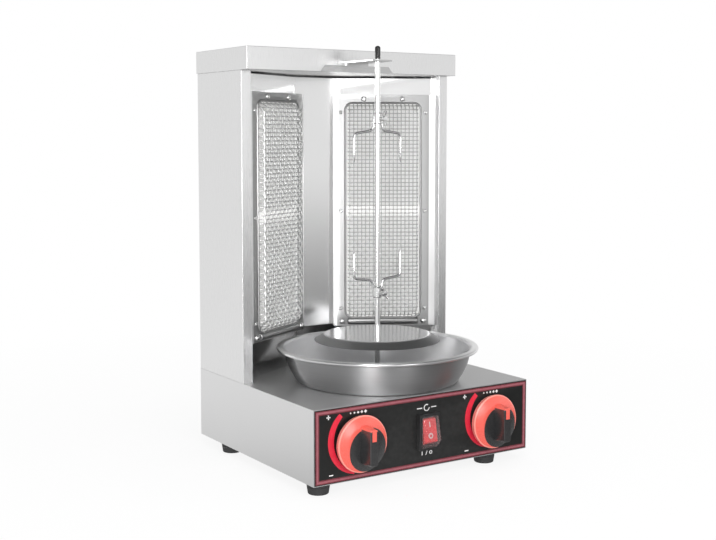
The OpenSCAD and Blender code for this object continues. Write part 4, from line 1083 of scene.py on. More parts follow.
def repeat(piece, count, step, merge):
    """Repeats a piece along a step, in millimetres."""
    row = piece.modifiers.new("repeat", "ARRAY")
    row.count = count
    row.use_relative_offset = False
    row.use_constant_offset = True
    row.constant_offset_displace = Vector(step) * MM
    row.use_merge_vertices = merge
    row.merge_threshold = 0.01 * MM
    return apply_all(piece)


def wire_set(name, upright):
    """All wires of one direction, as pairs in opposite phase."""
    along, across = (WEFT_PITCH, WARP_PITCH) if upright else (WARP_PITCH, WEFT_PITCH)
    span_along, span_across = (WINDOW_H, WINDOW_W) if upright else (WINDOW_W, WINDOW_H)
    periods = int((span_along + 2 * GUARD_LAP) / (2 * along))
    pairs = round((span_across + GUARD_LAP) / (2 * across))
    side = (across, 0, 0) if upright else (0, 0, across)
    first = 0 if upright else math.pi
    wires = []
    for i in range(2):
        wire = wave_wire(name + str(i), along, first + i * math.pi + math.pi / 2, upright)
        ahead = (0, 0, 2 * along) if upright else (2 * along, 0, 0)
        repeat(wire, periods, ahead, True)
        wires.append(settle(wire, Vector(side) * i))
    pair = joined(name, wires)
    return repeat(pair, pairs, Vector(side) * 2, False)


def centre_on_window(piece):
    """Moves a set of wires to the middle of the window."""
    corners = [Vector(c) for c in piece.bound_box]
    middle = (corners[0] + corners[6]) / 2 / MM
    return settle(piece, Vector((FRAME_W / 2, 0, MIDDLE_Z)) - middle)


def woven_guard(name):
    """The whole guard, pushed forward into a basket."""
    cloth = joined(name, [centre_on_window(wire_set("wires", up)) for up in (True, False)])
    bulge = cloth.vertex_groups.new(name="bulge")
    for point in cloth.data.vertices:
        at = point.co / MM
        over_x = abs(at.x - FRAME_W / 2) - WINDOW_W / 2 + GUARD_ROUND
        over_z = abs(at.z - MIDDLE_Z) - WINDOW_H / 2 + GUARD_ROUND
        beyond = math.hypot(max(over_x, 0), max(over_z, 0))
        inside = GUARD_ROUND - beyond - min(max(over_x, over_z), 0)
        share = min(max((inside - SLOPE_START) / SLOPE_W, 0), 1)
        bulge.add([point.index], share * share * (3 - 2 * share), "REPLACE")
    push = cloth.modifiers.new("basket", "DISPLACE")
    push.direction = "Y"
    push.mid_level = 0
    push.strength = (GUARD_FRONT - GUARD_BACK) * MM
    push.vertex_group = "bulge"
    apply_all(cloth)
    settle(cloth, (0, GUARD_BACK + WIRE_R, 0))
    bpy.ops.object.shade_smooth()
    return cloth


right_guard = onto_burner(woven_guard("right_woven_guard"))
left_guard = mirrored(right_guard, "left_woven_guard")
hand_over(right_guard, "root", "mesh_wire", "mesh_wire", "right_mesh")
hand_over(left_guard, "root", "mesh_wire", "mesh_wire", "left_mesh")

# %% [markdown]
# Three sizes of screw hold a frame: small ones along the sides, larger ones with a slot at the top,
# and two bright domes at the bottom. One head is modelled from an outline with a rounded shoulder, a
# slot is cut with a boolean, and copies go to every place on both burners.

# %% Frame screws
SCREW_DEPTH, HEAD_TURN = 3, 0.7
SIDE_INSET, SIDE_SPAN = 4.5, 115
TOP_SCREW_OFF, TOP_SCREW_Z, BOLT_INSET = 22.5, 393.1, 5.7


def screw_head(name, radius, rise, shank, slot_w):
    """A domed head with a slot, its axis along Y and its seat at the origin."""
    dome = [
        (radius * math.cos(math.radians(a)), rise * math.sin(math.radians(a)))
        for a in range(0, 91, 15)
    ]
    stem = [(0, -SCREW_DEPTH), (shank, -SCREW_DEPTH), (shank, 0)]
    head = turned(name, stem + dome, lean=FORWARD, steps=28)
    cutter = block("slot_tool", (-slot_w / 2, -rise - 1, -radius), (slot_w / 2, -rise * 0.5, radius))
    cut = head.modifiers.new("slot", "BOOLEAN")
    cut.operation = "DIFFERENCE"
    cut.object = cutter
    apply_all(head)
    bpy.data.objects.remove(cutter)
    take(head)
    smooth(32)
    return head


SCREW_KINDS = (
    (
        screw_head("side_screw", radius=2.3, rise=1.6, shank=1.2, slot_w=1.0),
        [(u, MIDDLE_Z + k * SIDE_SPAN) for u in (SIDE_INSET, FRAME_W - SIDE_INSET) for k in (-1, 0, 1)],
    ),
    (
        screw_head("top_screw", radius=3.2, rise=2.4, shank=1.5, slot_w=0.9),
        [(FRAME_W / 2 + k * TOP_SCREW_OFF, TOP_SCREW_Z) for k in (-1, 1)],
    ),
    (
        screw_head("dome_bolt", radius=3.6, rise=3.0, shank=1.8, slot_w=0.01),
        [(u, BEAD_Z) for u in (BOLT_INSET, FRAME_W - BOLT_INSET)],
    ),
)
heads = []
for model, places in SCREW_KINDS:
    for i, (u, z) in enumerate(places):
        heads.append(settle(copied(model, "head"), (u, 0, z), (0, HEAD_TURN * i, 0)))
    bpy.data.objects.remove(model)
right_screws = onto_burner(joined("right_frame_screws", heads))
left_screws = mirrored(right_screws, "left_frame_screws")
frame_screws = joined("frame_screw_heads", [right_screws, left_screws])
hand_over(frame_screws, "root", "screw_steel", "screw_steel", "frame_screws")

# %% [markdown]
# The drip pan is spun sheet: a flat floor with a short neck round the drive, a wall that leans out and
# bulges a little, and a rim that rolls over into a bead. Its outline is drawn in the middle of the
# sheet, spun, and given its thickness.

# %% Drip pan
PAN_SHEET = 0.9
PAN_FLOOR_R, PAN_LEAN, PAN_BULGE, PAN_H = 87.0, 14.0, 3.5, 37.7
PAN_RIM_R, PAN_BEAD_R, NECK_R, NECK_H = 109.4, 1.8, 11.5, 9.0
half = PAN_SHEET / 2


def pan_wall(t):
    """A point of the wall, from the floor at 0 to the lip at 1."""
    swell = PAN_LEAN * t + PAN_BULGE * math.sin(math.pi * t)
    return PAN_FLOOR_R + swell - half, half + (PAN_H - PAN_SHEET) * t


curl = arc((PAN_RIM_R - PAN_BEAD_R, PAN_H - PAN_BEAD_R), PAN_BEAD_R - half, 90, -200, 14)
pan_outline = (
    [(NECK_R, NECK_H), (NECK_R, 2.2)]
    + arc((NECK_R + 1.6, half + 1.6), 1.6, 180, 270, 4)
    + [(PAN_FLOOR_R - 3, half)]
    + [pan_wall(t) for t in (0.03, 0.08, 0.15, 0.24, 0.34, 0.45, 0.56, 0.67, 0.78, 0.88, 0.95)]
    + [(PAN_FLOOR_R + PAN_LEAN + 1.2, PAN_H - half - 0.25)]
    + curl
)
pan = turned("drip_pan_spun", pan_outline, (0, SPIT_Y, BASE_TOP), steps=128)
thicken(pan, PAN_SHEET)
smooth(40)
hand_over(pan, "pan", "pan_steel", "pan_steel", "drip_pan")

# %% [markdown]
# The plate under the meat is a shallow dish upside down with a hub for the rod. It is polished, so it
# mirrors the rod. The outline is closed, because the plate is thick enough to show its edge.

# %% Meat plate
PLATE_R, PLATE_H, PLATE_T = 68.5, 7.0, 1.5
HUB_R, HUB_H, ROD_R = 9.0, 14.0, 3.0
plate_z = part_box("meat_plate")[1].z / MM - PLATE_H
shoulder = 2.2
plate_outline = (
    [(ROD_R, PLATE_H), (PLATE_FLAT_R - shoulder, PLATE_H)]
    + arc((PLATE_FLAT_R - shoulder, PLATE_H - shoulder * 2.2), shoulder * 2.2, 84, 57, 5)
    + [(PLATE_R - 0.6, 0.6), (PLATE_R - 0.2, 0.3), (PLATE_R - 0.5, 0), (PLATE_R - PLATE_T, 0)]
    + [(PLATE_FLAT_R - PLATE_T * 0.6, PLATE_H - PLATE_T), (HUB_R, PLATE_H - PLATE_T)]
    + [(HUB_R, PLATE_H - HUB_H + 0.6), (HUB_R - 0.6, PLATE_H - HUB_H), (ROD_R, PLATE_H - HUB_H)]
    + [(ROD_R, PLATE_H)]
)
plate = turned("meat_plate_spun", plate_outline, (0, SPIT_Y, plate_z), steps=112)
hand_over(plate, "spit", "plate_steel", "polished_steel", "meat_plate")

# %% [markdown]
# The rod is drawn steel with a chamfer at its foot. Its tip is a dark cap with a rounded end and a
# shallow groove, so that fingers find it.

# %% Spit rod and tip
tip_low, tip_high = (corner.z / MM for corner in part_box("rod_tip"))
foot_chamfer = 0.8
rod = turned(
    "spit_rod_drawn",
    [(0, rod_low.z), (ROD_R - foot_chamfer, rod_low.z), (ROD_R, rod_low.z + foot_chamfer)]
    + [(ROD_R, rod_high.z), (0, rod_high.z)],
    (0, SPIT_Y, 0),
    steps=40,
)
tip_round = 2.6
tip = turned(
    "rod_tip_cap",
    [(0, tip_low), (ROD_R - 0.2, tip_low), (ROD_R, tip_low + 0.3), (ROD_R, tip_low + 2.2)]
    + [(ROD_R - 0.35, tip_low + 2.5), (ROD_R - 0.35, tip_low + 3.1), (ROD_R, tip_low + 3.4)]
    + [
        (ROD_R - tip_round + x, tip_high - tip_round + y)
        for x, y in arc((0, 0), tip_round, 0, 80, 7)
    ]
    + [(0, tip_high)],
    (0, SPIT_Y, 0),
    steps=40,
)
hand_over(rod, "spit", "rod_steel", "polished_steel", "spit_rod")
hand_over(tip, "spit", "tip_plastic", "tip_plastic", "rod_tip")

# %% [markdown]
# Each fork is a collar with two bent wires. A wire is a curve: its points follow the bends, its bevel
# gives it thickness, and the radius of the last points sharpens the prong. The curve becomes a mesh
# before it is joined to the collar. The lower fork is the upper one turned over.

# %% Forks
FORK_WIRE_R, COLLAR_R, COLLAR_H = 1.6, 5.5, 12.0
FORK_HALF_SPAN, ARM_DROP, PRONG_L, BEND_REACH = 30.0, 13.0, 34.0, 5.1
COLLAR_GAP = 0.35
upper_z = (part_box("upper_fork")[1].z / MM) - COLLAR_H / 2
lower_z = (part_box("lower_fork")[0].z / MM) + COLLAR_H / 2


def bent(points, reach, steps=7):
    """A line through points whose corners are rounded."""
    line = [Vector(points[0])]
    for before, corner, after in zip(points, points[1:], points[2:]):
        corner = Vector(corner)
        start = corner + (Vector(before) - corner).normalized() * reach
        stop = corner + (Vector(after) - corner).normalized() * reach
        for i in range(steps + 1):
            t = i / steps
            line.append((1 - t) ** 2 * start + 2 * t * (1 - t) * corner + t * t * stop)
    return line + [Vector(points[-1])]


def bent_wire(name, points, radius, point_l=0):
    """A round wire along points in millimetres; point_l sharpens its last stretch."""
    wire = started(name, bpy.ops.curve.primitive_nurbs_path_add)
    wire.data.splines.clear()
    line = wire.data.splines.new("POLY")
    tail = (points[-1] - points[-2]).normalized()
    points = list(points)
    if point_l:
        end = points.pop()
        points += [end - tail * point_l * (1 - i / 4) for i in range(5)]
    line.points.add(len(points) - 1)
    for i, (spot, place) in enumerate(zip(line.points, points)):
        spot.co = (*(place * MM), 1)
        left = len(points) - 1 - i
        spot.radius = 1 if not point_l or left > 4 else max(0.12, (left / 4) ** 0.6)
    wire.data.bevel_depth = radius * MM
    wire.data.bevel_resolution = 4
    wire.data.use_fill_caps = True
    take(wire)
    bpy.ops.object.convert(target="MESH")
    return tidy_skin(named(name))


def fork_piece(name):
    """Collar and wires with the prongs pointing down, the collar's middle at the origin."""
    arm = COLLAR_R - FORK_WIRE_R / 2
    knees = [
        (arm, 0, COLLAR_H / 4),
        (arm + FORK_WIRE_R, 0, -ARM_DROP),
        (FORK_HALF_SPAN, 0, -ARM_DROP - 2 * FORK_WIRE_R),
        (FORK_HALF_SPAN, 0, -ARM_DROP - PRONG_L),
    ]
    right = bent_wire("right_wire", bent(knees, BEND_REACH), FORK_WIRE_R, 6)
    left = settle(copied(right, "left_wire"), turn=(0, 0, math.pi))
    rim, inner = 0.8, ROD_R + COLLAR_GAP
    tall = COLLAR_H / 2
    collar = turned(
        "collar",
        [(inner, -tall + rim / 2), (inner + rim / 2, -tall), (COLLAR_R - rim, -tall)]
        + [(COLLAR_R, -tall + rim), (COLLAR_R, tall - rim), (COLLAR_R - rim, tall)]
        + [(inner + rim / 2, tall), (inner, tall - rim / 2), (inner, -tall + rim / 2)],
        steps=40,
    )
    piece = joined(name, [right, left, collar])
    smooth(40)
    return piece


upper_fork = fork_piece("upper_fork_wires")
lower_fork = copied(upper_fork, "lower_fork_wires")
settle(upper_fork, (0, SPIT_Y, upper_z))
settle(lower_fork, (0, SPIT_Y, lower_z), (0, math.pi, 0))
hand_over(upper_fork, "upper_fork", "fork_steel", "polished_steel", "upper_fork")
hand_over(lower_fork, "lower_fork", "fork_steel", "polished_steel", "lower_fork")

# %% [markdown]
# A wing screw locks each collar to the rod. Its shank and hub are turned, and the wings are one block
# whose ends are swelled and bevelled into round ears.

# %% Wing screws
WING_REACH, WING_SPAN, WING_T, WING_SHANK_R = 17.0, 16.0, 2.0, 1.7
WING_NOTCH, WING_WAIST = 3.2, 0.45
WING_TURNS = {"upper": 90, "lower": 55}


def wing_screw(name, turn):
    """Shank, hub and wings along -Y, the rod's axis at the origin."""
    hub_start, hub_end = COLLAR_R + 1, WING_REACH - 2.5
    shank = turned(
        "shank",
        [(0, ROD_R + 0.2), (WING_SHANK_R - 0.5, ROD_R + 0.2), (WING_SHANK_R, ROD_R + 0.7)]
        + [(WING_SHANK_R, hub_start), (3.2, hub_start), (3.4, hub_start + 0.4)]
        + [(3.1, hub_end), (2.4, WING_REACH - 1.2), (0, WING_REACH - 0.8)],
        lean=FORWARD,
        steps=28,
    )
    inner_y = WING_SPAN / 2 - WING_REACH
    wings = block(
        "wings",
        (-WING_SPAN / 2, -WING_REACH, -WING_T / 2),
        (WING_SPAN / 2, inner_y, WING_T / 2),
    )
    open_up(wings, "EDGE", "SELECT")
    bpy.ops.mesh.subdivide(number_cuts=1)
    pick("verts", lambda at, v: abs(at.x) < 0.1 and at.y < -WING_REACH + 0.1)
    bpy.ops.transform.translate(value=(0, WING_NOTCH * MM, 0))
    pick("verts", lambda at, v: abs(at.x) > WING_SPAN / 2 - 1 and at.y > inner_y - 0.1)
    bpy.ops.transform.resize(value=(WING_WAIST, 1, 1), center_override=(0, 0, 0))
    close_up()
    soften(wings, 0.7, 3)
    ears = wings.modifiers.new("round ears", "SUBSURF")
    ears.levels = 2
    ears.render_levels = 2
    apply_all(wings)
    settle(wings, turn=(0, math.radians(turn), 0))
    piece = joined(name, [shank, wings])
    smooth(40)
    return piece


for side, z in (("upper", upper_z), ("lower", lower_z)):
    screw = wing_screw(side + "_wing_screw_turned", WING_TURNS[side])
    settle(screw, (0, SPIT_Y, z))
    hand_over(screw, side + "_screw", "rod_steel", "polished_steel", side + "_wing_screw")

# %% [markdown]
# A knob is a skirt with a cone on it, and a grip bar across. The skirt and cone are turned. The bar is
# a block, narrowed towards its top and rounded. The coloured crescent is in the finish: all of the
# skirt that lies outside a circle, set off from the knob's middle, is orange. The colour runs on over
# the upper end of the bar and a little way down its front, to show where the knob points. A ring along
# the skirt's outer edge is painted paler orange, as a painted highlight, and the corners are painted
# paler, partly as wear and partly as a painted highlight.

# %% Knob finish
KNOB_X = 84.0
KNOB_EDGE_R, KNOB_FACE_R = 28.7, 17.0
BLACK_CIRCLE = Vector((4.3, 0, -5.7)) * MM
# Painted highlight: beyond this radius the orange skirt is painted paler.
BLACK_CIRCLE_R, PAINTED_HIGHLIGHT_RIM_R = 22.2, 27.4
SKIRT_FRONT = 137.6
GRIP_END, POINTER_LOW, POINTER_W, POINTER_FRONT = 16.4, 6.5, 5.0, 151.6


def beyond(tree, value, limit):
    """A mask, 1 where the value is greater than a limit in millimetres."""
    return maths(tree, "GREATER_THAN", value, limit * MM)


def both(tree, *masks):
    """A mask, 1 where all the masks are 1."""
    made = masks[0]
    for mask in masks[1:]:
        made = maths(tree, "MULTIPLY", made, mask)
    return made


def knob_finish(name, x):
    """Black plastic with an orange crescent and a hooked mark, centred on one knob; its rim and corners are
    painted paler, as painted highlights.
    """
    made, tree, shader, place = start_finish(name, (x * MM, 0, PANEL_Z * MM))
    speckle = use_effect(tree, "speckle", place)
    rub = use_effect(tree, "rub", place)["Rub"]
    flat = flattened(tree, place, ROUND_Y)
    off_circle = beyond(tree, vectors(tree, "DISTANCE", flat, BLACK_CIRCLE), BLACK_CIRCLE_R)
    rim = beyond(tree, vectors(tree, "LENGTH", flat), PAINTED_HIGHLIGHT_RIM_R)
    axes = split(tree, place)
    narrow = maths(tree, "LESS_THAN", maths(tree, "ABSOLUTE", axes["X"]), POINTER_W / 2 * MM)
    outward = maths(tree, "MULTIPLY", axes["Y"], -1)
    on_grip = beyond(tree, outward, SKIRT_FRONT)
    on_skirt = maths(tree, "SUBTRACT", 1, on_grip)
    mask = sum_of(
        tree,
        both(tree, off_circle, on_skirt),
        both(tree, beyond(tree, axes["Z"], GRIP_END), on_grip),
        both(tree, narrow, beyond(tree, outward, POINTER_FRONT), beyond(tree, axes["Z"], POINTER_LOW)),
    )
    black = mixed(tree, speckle["Cloud"], (0.017, 0.017, 0.018), (0.024, 0.024, 0.025))
    orange = mixed(tree, speckle["Cloud"], (0.74, 0.085, 0.06), (0.86, 0.13, 0.095))
    # Painted highlight, partly wear: the corners of both colours and the skirt's rim are painted paler.
    black_rub_and_sheen = mixed(tree, rub, black, (0.22, 0.22, 0.22))
    orange_with_painted_rim_highlight = mixed(tree, rim, orange, (0.88, 0.26, 0.21))
    worn_and_sheen = mixed(tree, rub, orange_with_painted_rim_highlight, (0.95, 0.5, 0.43))
    feed(
        tree,
        shader,
        Base_Color=mixed(tree, mask, black_rub_and_sheen, worn_and_sheen),
        Roughness=between(tree, speckle["Grain"], 0.24, 0.32),
        Normal=dented(tree, speckle["Grain"], 0.00001),
        IOR=1.6,
        Coat_Weight=1.0,
        Coat_Roughness=0.2,
    )
    return made


# %% Knobs
KNOB_EDGE_Y, KNOB_FACE_Y = 132.989, 136.489
GRIP_W, GRIP_L, GRIP_ROUND, GRIP_TAPER = 10.5, 39.0, 2.6, (0.86, 1, 0.92)


def knob_piece(name, x):
    """Skirt, cone and grip of one knob."""
    edge, face = KNOB_EDGE_Y, KNOB_FACE_Y
    knob_low, knob_high = (corner.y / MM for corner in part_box("left_knob"))
    back, front = -knob_high, -knob_low
    rim = 0.9
    skirt = turned(
        "skirt",
        [(0, back + 1.2), (KNOB_EDGE_R - 4, back + 1.2), (KNOB_EDGE_R - 3, back), (KNOB_EDGE_R - 1, back)]
        + [(KNOB_EDGE_R, edge - rim), (KNOB_EDGE_R - 0.3, edge - 0.3), (KNOB_EDGE_R - rim, edge)]
        + [(KNOB_FACE_R + 3, face - 0.5), (KNOB_FACE_R + 1, face - 0.1), (0, face)],
        (x, 0, PANEL_Z),
        lean=FORWARD,
        steps=96,
    )
    grip = block(
        "grip",
        (x - GRIP_W / 2, -front, PANEL_Z - GRIP_L / 2),
        (x + GRIP_W / 2, -face + 1.5, PANEL_Z + GRIP_L / 2),
    )
    open_up(grip)
    pick("faces", lambda at, f: f.normal.y < -0.9)
    bpy.ops.transform.resize(value=GRIP_TAPER, center_override=(x * MM, 0, PANEL_Z * MM))
    bpy.ops.mesh.select_mode(type="EDGE")
    pick("edges", lambda at, e: abs(at.x - x) < 6 and abs(e.verts[0].co.y - e.verts[1].co.y) > 0.004)
    bpy.ops.mesh.bevel(offset=GRIP_ROUND * MM, segments=5)
    close_up()
    soften(grip, 0.9, 3)
    piece = joined(name, [skirt, grip])
    smooth(36)
    return piece


for side, x in (("left", -KNOB_X), ("right", KNOB_X)):
    finish[side + "_knob"] = knob_finish(side + "_knob_plastic", x)
    knob = knob_piece(side + "_knob_moulded", x)
    hand_over(knob, side + "_knob", side + "_knob", "knob_plastic", side + "_knob")

# %% [markdown]
# The film on the panel is its own thin sheet with softened edges. What is printed on it lies a hair
# above it as thin pieces: the border in two reds, the crescents beside the knobs and small white
# marks. The marks are plain signs: plus and minus at the ends of each crescent, a row of dots for the
# heat, a circular arrow above the switch, and I and O below it.

# %% Panel film and border
film = soften(bench_copy("control_overlay", "control_film"), 0.2)
hand_over(film, "root", "overlay_film", "overlay_film", "control_overlay")
PRINT_T = 0.12
PRINT_Y = PANEL_Y - PRINT_T / 2


def ring_print(name, inset, width):
    """A rectangular line on the film, inset from its edge."""
    size = panel_high - panel_low
    middle = (panel_low + panel_high) / 2
    middle.y = PRINT_Y
    piece = upright_plane(name, middle, size.x - 2 * inset, size.z - 2 * inset)
    bpy.ops.mesh.inset(thickness=width * MM)
    bpy.ops.mesh.delete(type="FACE")
    close_up()
    return thicken(piece, PRINT_T)


BORDER_INSET, BORDER_W, MAROON_W = 2.0, 2.0, 1.1
border = ring_print("border_line", BORDER_INSET, BORDER_W)
outer_maroon = ring_print("border_outer", BORDER_INSET - MAROON_W, MAROON_W)
inner_maroon = ring_print("border_inner", BORDER_INSET + BORDER_W, MAROON_W)
hand_over(border, "root", "print_pink", "overlay_film")
hand_over(joined("border_shades", [outer_maroon, inner_maroon]), "root", "print_maroon", "overlay_film")


# %% Printed crescents
CRESCENT_FIRST, CRESCENT_LAST, CRESCENT_STEPS = math.radians(128), math.radians(262), 30
CRESCENT_SHIFT, CRESCENT_THIN = 5.0, 1.8


def crescent_print(name, middle, outer_r):
    """A crescent between two circles, from near its top to its bottom."""
    grid = bpy.ops.mesh.primitive_grid_add
    piece = started(name, grid, x_subdivisions=CRESCENT_STEPS, y_subdivisions=1, size=1)
    cells = [round(v.co.x + 0.5, 5) for v in piece.data.vertices]
    rows = [v.co.y > 0 for v in piece.data.vertices]
    for point, along, outside in zip(piece.data.vertices, cells, rows):
        angle = CRESCENT_FIRST + (CRESCENT_LAST - CRESCENT_FIRST) * along
        way = Vector((math.cos(angle), 0, math.sin(angle)))
        spot = Vector((middle[0], PRINT_Y, middle[1])) + way * outer_r
        if not outside:
            inner = Vector((middle[0] + CRESCENT_SHIFT, PRINT_Y, middle[1]))
            spot = inner + (spot - inner).normalized() * (outer_r - CRESCENT_THIN)
        point.co = spot * MM
    tidy_skin(piece)
    return thicken(piece, PRINT_T)


crescents = [
    crescent_print("left_crescent", (-83.88, 52.1), 35.2),
    crescent_print("right_crescent", (84.22, 53.3), 34.0),
]
hand_over(joined("heat_crescents", crescents), "root", "print_red", "overlay_film")


# %% Printed marks
def bar_print(x, z, w, h, turn=0):
    """A small printed bar, turned about its middle."""
    bar = block("bar", (-w / 2, -PRINT_T / 2, -h / 2), (w / 2, PRINT_T / 2, h / 2))
    return settle(bar, (x, PRINT_Y, z), (0, math.radians(turn), 0))


def ring_mark(x, z, radius, width, first=0, last=360, steps=28):
    """A printed ring or part of one, as a strip swept round its middle."""
    strip = started("ring", bpy.ops.mesh.primitive_plane_add, size=1)
    strip.scale = Vector((width, PRINT_T, 1)) * MM
    settle(strip, (radius, 0, 0))
    open_up(strip, "FACE", "SELECT")
    sweep = math.radians(last - first)
    bpy.ops.mesh.spin(steps=steps, angle=sweep, center=(0, 0, 0), axis=(0, 1, 0))
    close_up()
    tidy_skin(strip)
    return settle(strip, (x, PRINT_Y, z), (0, -math.radians(first), 0))


MARK_W, MARK_OUT = 1.1, 34.5
PLUS_Z, PLUS_L = 77.5, 4.4
MINUS_Z, MINUS_L, MINUS_IN = 19.6, 4.8, 3
DOTS, DOTS_Z, DOT_PITCH, DOT_LEAST, DOT_STEP = 5, 78.6, 4.4, 1.4, 0.3
SIGNS_Z, SIGNS_OUT = 25.3, 5.5
ARROW_Z, ARROW_R, ARROW_W, DASH_OUT, DASH_L = 72.6, 3.2, 0.9, 9, 6.5
marks = []
for x in (-KNOB_X, KNOB_X):
    left = x - MARK_OUT
    marks += [bar_print(left, PLUS_Z, PLUS_L, MARK_W), bar_print(left, PLUS_Z, MARK_W, PLUS_L)]
    marks += [bar_print(left + MINUS_IN, MINUS_Z, MINUS_L, MARK_W)]
    for k in range(DOTS):
        dot = DOT_LEAST + DOT_STEP * k
        marks += [bar_print(x + (k - DOTS // 2) * DOT_PITCH, DOTS_Z, dot, dot, 45)]
marks += [
    bar_print(-SIGNS_OUT, SIGNS_Z, 1.0, 3.8),
    bar_print(0, SIGNS_Z, 0.8, 4.4, 24),
    ring_mark(SIGNS_OUT, SIGNS_Z, 1.5, 0.8),
    ring_mark(0, ARROW_Z, ARROW_R, ARROW_W, 60, 360),
]
marks += [bar_print(k * DASH_OUT, ARROW_Z, DASH_L, ARROW_W) for k in (-1, 1)]
hand_over(joined("panel_marks", marks), "root", "print_white", "overlay_film")

# %% [markdown]
# The switch is three pieces in one another: a black bezel with a bevelled frame, the red rocker with
# its two signs, and the clear boot. At rest the rocker's top is pressed in, so its signs are made
# upright and then tilted with it. The boot is a block whose front corners are moved, so that its face
# leans with the rocker. Then it is rounded, opened at the back and given a real wall.

# %% Switch bezel
bezel = bench_copy("switch_housing", "switch_bezel")
soften(bezel, 0.45, 3)
hand_over(bezel, "root", "switch_plastic", "switch_plastic", "switch_housing")

# %% Rocker
ROCKER_FACE, ROCKER_REST = 8.2, -10.0
ROCKER_Y = -121.989
SIGN_I_Z, SIGN_O_Z = 6.2, -5.4
rocker = bench_copy("rocker_button", "rocker_moulded")
soften(rocker, 0.6, 3)
hand_over(rocker, "rocker", "rocker_plastic", "rocker_plastic", "rocker_button")


def rocker_sign(pieces):
    """Joins signs that were made upright round the pivot and tilts them with the resting rocker."""
    piece = joined("rocker_signs", pieces)
    return settle(piece, (0, ROCKER_Y, PANEL_Z), (math.radians(ROCKER_REST), 0, 0))


def at_face(piece, z):
    """Moves a sign from the panel's face to the rocker's own face."""
    return settle(piece, (0, -PRINT_Y - ROCKER_FACE - PRINT_T / 2, z))


signs = [
    at_face(bar_print(0, 0, 1.3, 5.2), SIGN_I_Z),
    at_face(ring_mark(0, 0, 2.2, 1.4), SIGN_O_Z),
]
hand_over(rocker_sign(signs), "rocker", "print_white", "rocker_plastic")

# %% Splash boot
boot_low, boot_high = (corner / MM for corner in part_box("switch_boot"))
BOOT_WALL, BOOT_ROUND = 0.8, 2.4
BOOT_LEAN, BOOT_CHIN, BOOT_BROW, BOOT_TAPER = 5.4, 8.0, 0.8, 0.9
boot = block("splash_boot", boot_low, boot_high)
open_up(boot, "VERT")
pick("verts", lambda at, v: at.y < boot_low.y + 0.01)
bpy.ops.transform.resize(value=(BOOT_TAPER, 1, 1), center_override=(0, 0, 0))
pick("verts", lambda at, v: at.y < boot_low.y + 0.01 and at.z < PANEL_Z)
bpy.ops.transform.translate(value=(0, 0, BOOT_CHIN * MM))
pick("verts", lambda at, v: at.y < boot_low.y + 0.01 and at.z > PANEL_Z)
bpy.ops.transform.translate(value=(0, BOOT_LEAN * MM, -BOOT_BROW * MM))
bpy.ops.mesh.select_mode(type="EDGE")
pick("edges", lambda at, e: at.y < boot_high.y - 0.1)
bpy.ops.mesh.bevel(offset=BOOT_ROUND * MM, segments=6)
bpy.ops.mesh.select_mode(type="FACE")
pick("faces", lambda at, f: f.normal.y > 0.9 and at.y > boot_high.y - 0.1)
bpy.ops.mesh.delete(type="FACE")
close_up()
thicken(boot, BOOT_WALL, -1)
smooth(40)
hand_over(boot, "root", "boot_rubber", "boot_rubber", "switch_boot")

# %% [markdown]
# The feet are moulded rubber: a taper with a rounded foot, a ring groove and a recess for the screw.
# One outline serves all four, and each is spun at its own place.

# %% Feet
FOOT_R, FOOT_H, FOOT_TAPER = 12.0, 10.5, 1.5
FOOT_RECESS_R, FOOT_RECESS_H, FOOT_HOLE_R = 5.0, 4.0, 2.2
low_r = FOOT_R - FOOT_TAPER
foot_outline = (
    [(FOOT_HOLE_R, FOOT_H), (FOOT_HOLE_R, FOOT_RECESS_H), (FOOT_RECESS_R, FOOT_RECESS_H)]
    + [(FOOT_RECESS_R, 0.5), (FOOT_RECESS_R + 0.5, 0), (low_r - 1.2, 0)]
    + arc((low_r - 1.2, 1.2), 1.2, -70, 0, 5)
    + [(FOOT_R - 0.55, 7.2), (FOOT_R - 0.9, 7.5), (FOOT_R - 0.9, 8.0), (FOOT_R - 0.4, 8.3)]
    + [(FOOT_R, FOOT_H - 0.5), (FOOT_R - 0.4, FOOT_H), (FOOT_HOLE_R, FOOT_H)]
)
for corner in ("front_left", "front_right", "back_left", "back_right"):
    low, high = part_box("foot_" + corner)
    middle = (low + high) / 2 / MM
    foot = turned("foot_" + corner + "_moulded", foot_outline, (middle.x, middle.y, 0), steps=48)
    hand_over(foot, "root", "foot_rubber", "foot_rubber", "foot_" + corner)

# %% [markdown]
# Behind the grill, the gas hose pushes onto a barbed tail with a hexagon, and the mains lead enters
# through a gland. Both are turned round their bores, and the hexagons are six-sided spins.

# %% Gas inlet
inlet_low, inlet_high = (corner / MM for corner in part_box("gas_inlet"))
inlet_x, inlet_z = (inlet_low.x + inlet_high.x) / 2, (inlet_low.z + inlet_high.z) / 2
BACK_Y, TAIL_NUT, TAIL_R, TAIL_HEX_R, GAS_BORE_R = base_high.y, 8.0, 4.5, 8.5, 2.5
BARBS, BARB_PITCH = 4, 4
inlet_place = (inlet_x, BACK_Y, inlet_z)
barbs = []
for i in range(BARBS):
    start = TAIL_NUT + 2 + i * BARB_PITCH
    barbs += [(TAIL_R - 0.9, start), (TAIL_R, start + 0.5), (TAIL_R - 0.9, start + 3.6)]
tail_end = inlet_high.y - BACK_Y
tail = turned(
    "tail",
    [(GAS_BORE_R, -1), (TAIL_R, -1), (TAIL_R, TAIL_NUT)]
    + barbs
    + [(TAIL_R - 0.9, tail_end - 0.5), (TAIL_R - 1.3, tail_end), (GAS_BORE_R, tail_end), (GAS_BORE_R, -1)],
    inlet_place,
    lean=BACKWARD,
    steps=40,
)


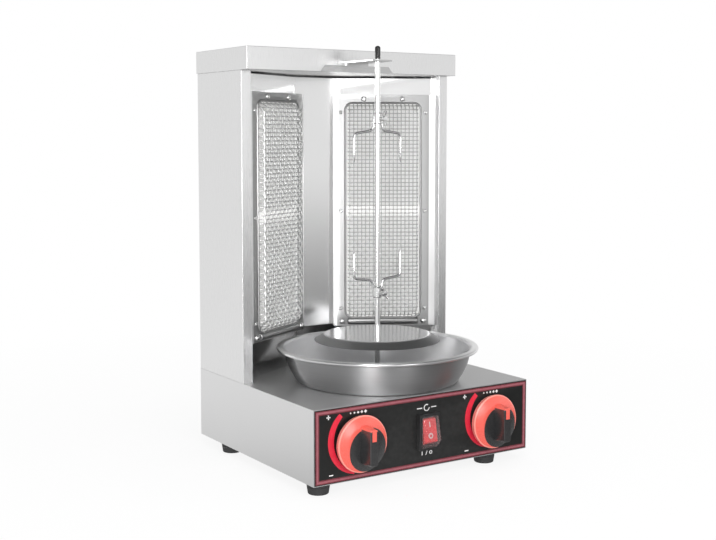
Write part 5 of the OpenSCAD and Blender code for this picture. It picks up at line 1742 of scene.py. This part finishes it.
def hexagon(radius, bore, start, stop, place):
    """A hexagon nut with chamfered ends, along +Y."""
    cut = 0.7
    return turned(
        "hexagon",
        [(bore, start), (radius - cut, start), (radius, start + cut)]
        + [(radius, stop - cut), (radius - cut, stop), (bore, stop), (bore, start)],
        place,
        lean=BACKWARD,
        steps=6,
    )


inner_nut = hexagon(TAIL_HEX_R, GAS_BORE_R, inlet_low.y - BACK_Y, -1, inlet_place)
outer_nut = hexagon(TAIL_HEX_R, GAS_BORE_R, 0, TAIL_NUT, inlet_place)
inlet = joined("gas_inlet_turned", [tail, inner_nut, outer_nut])
hand_over(inlet, "root", "brass", "brass", "gas_inlet")

# %% Cable gland
gland_low, gland_high = (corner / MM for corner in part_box("cable_gland"))
gland_place = ((gland_low.x + gland_high.x) / 2, BACK_Y, (gland_low.z + gland_high.z) / 2)
GLAND_R, GLAND_BORE_R, GLAND_HEX_R, GLAND_PROUD = 6.0, 3.6, 9.5, 12.0
neck = turned(
    "neck",
    [(GLAND_BORE_R, gland_low.y - BACK_Y), (GLAND_R, gland_low.y - BACK_Y), (GLAND_R, 5)]
    + [(GLAND_R, 8.5)]
    + arc((GLAND_R - 2.4, GLAND_PROUD - 2.6), 2.4, 0, 80, 6)
    + [(GLAND_BORE_R, GLAND_PROUD), (GLAND_BORE_R, gland_low.y - BACK_Y)],
    gland_place,
    lean=BACKWARD,
    steps=40,
)
flange = hexagon(GLAND_HEX_R, GLAND_BORE_R, 0, 4, gland_place)
lock = hexagon(GLAND_HEX_R, GLAND_BORE_R, gland_low.y - BACK_Y + 0.5, -1, gland_place)
gland = joined("cable_gland_moulded", [neck, flange, lock])
hand_over(gland, "root", "gland_plastic", "gland_plastic", "cable_gland")

# %% [markdown]
# What is left keeps its own solid: valves, pipes, motor, plaques and the other pieces inside. They are
# seen through the gaps and when the grill comes apart, so each still gets the finish of its material.

# %% Finishes of the inner pieces
SLOT_FINISH = {
    "satin_steel": "cabinet_steel",
    "polished_steel": "rod_steel",
    "knob_plastic": "switch_plastic",
}
slot_of = {part["node"]: part["material_slot"] for part in frame["record"]["subparts"]}
for name, solid in nodes.items():
    key = SLOT_FINISH.get(slot_of[name], slot_of[name])
    for holder in solid.material_slots:
        holder.material = finish[key]
print("inner pieces with a finish:", len(nodes))
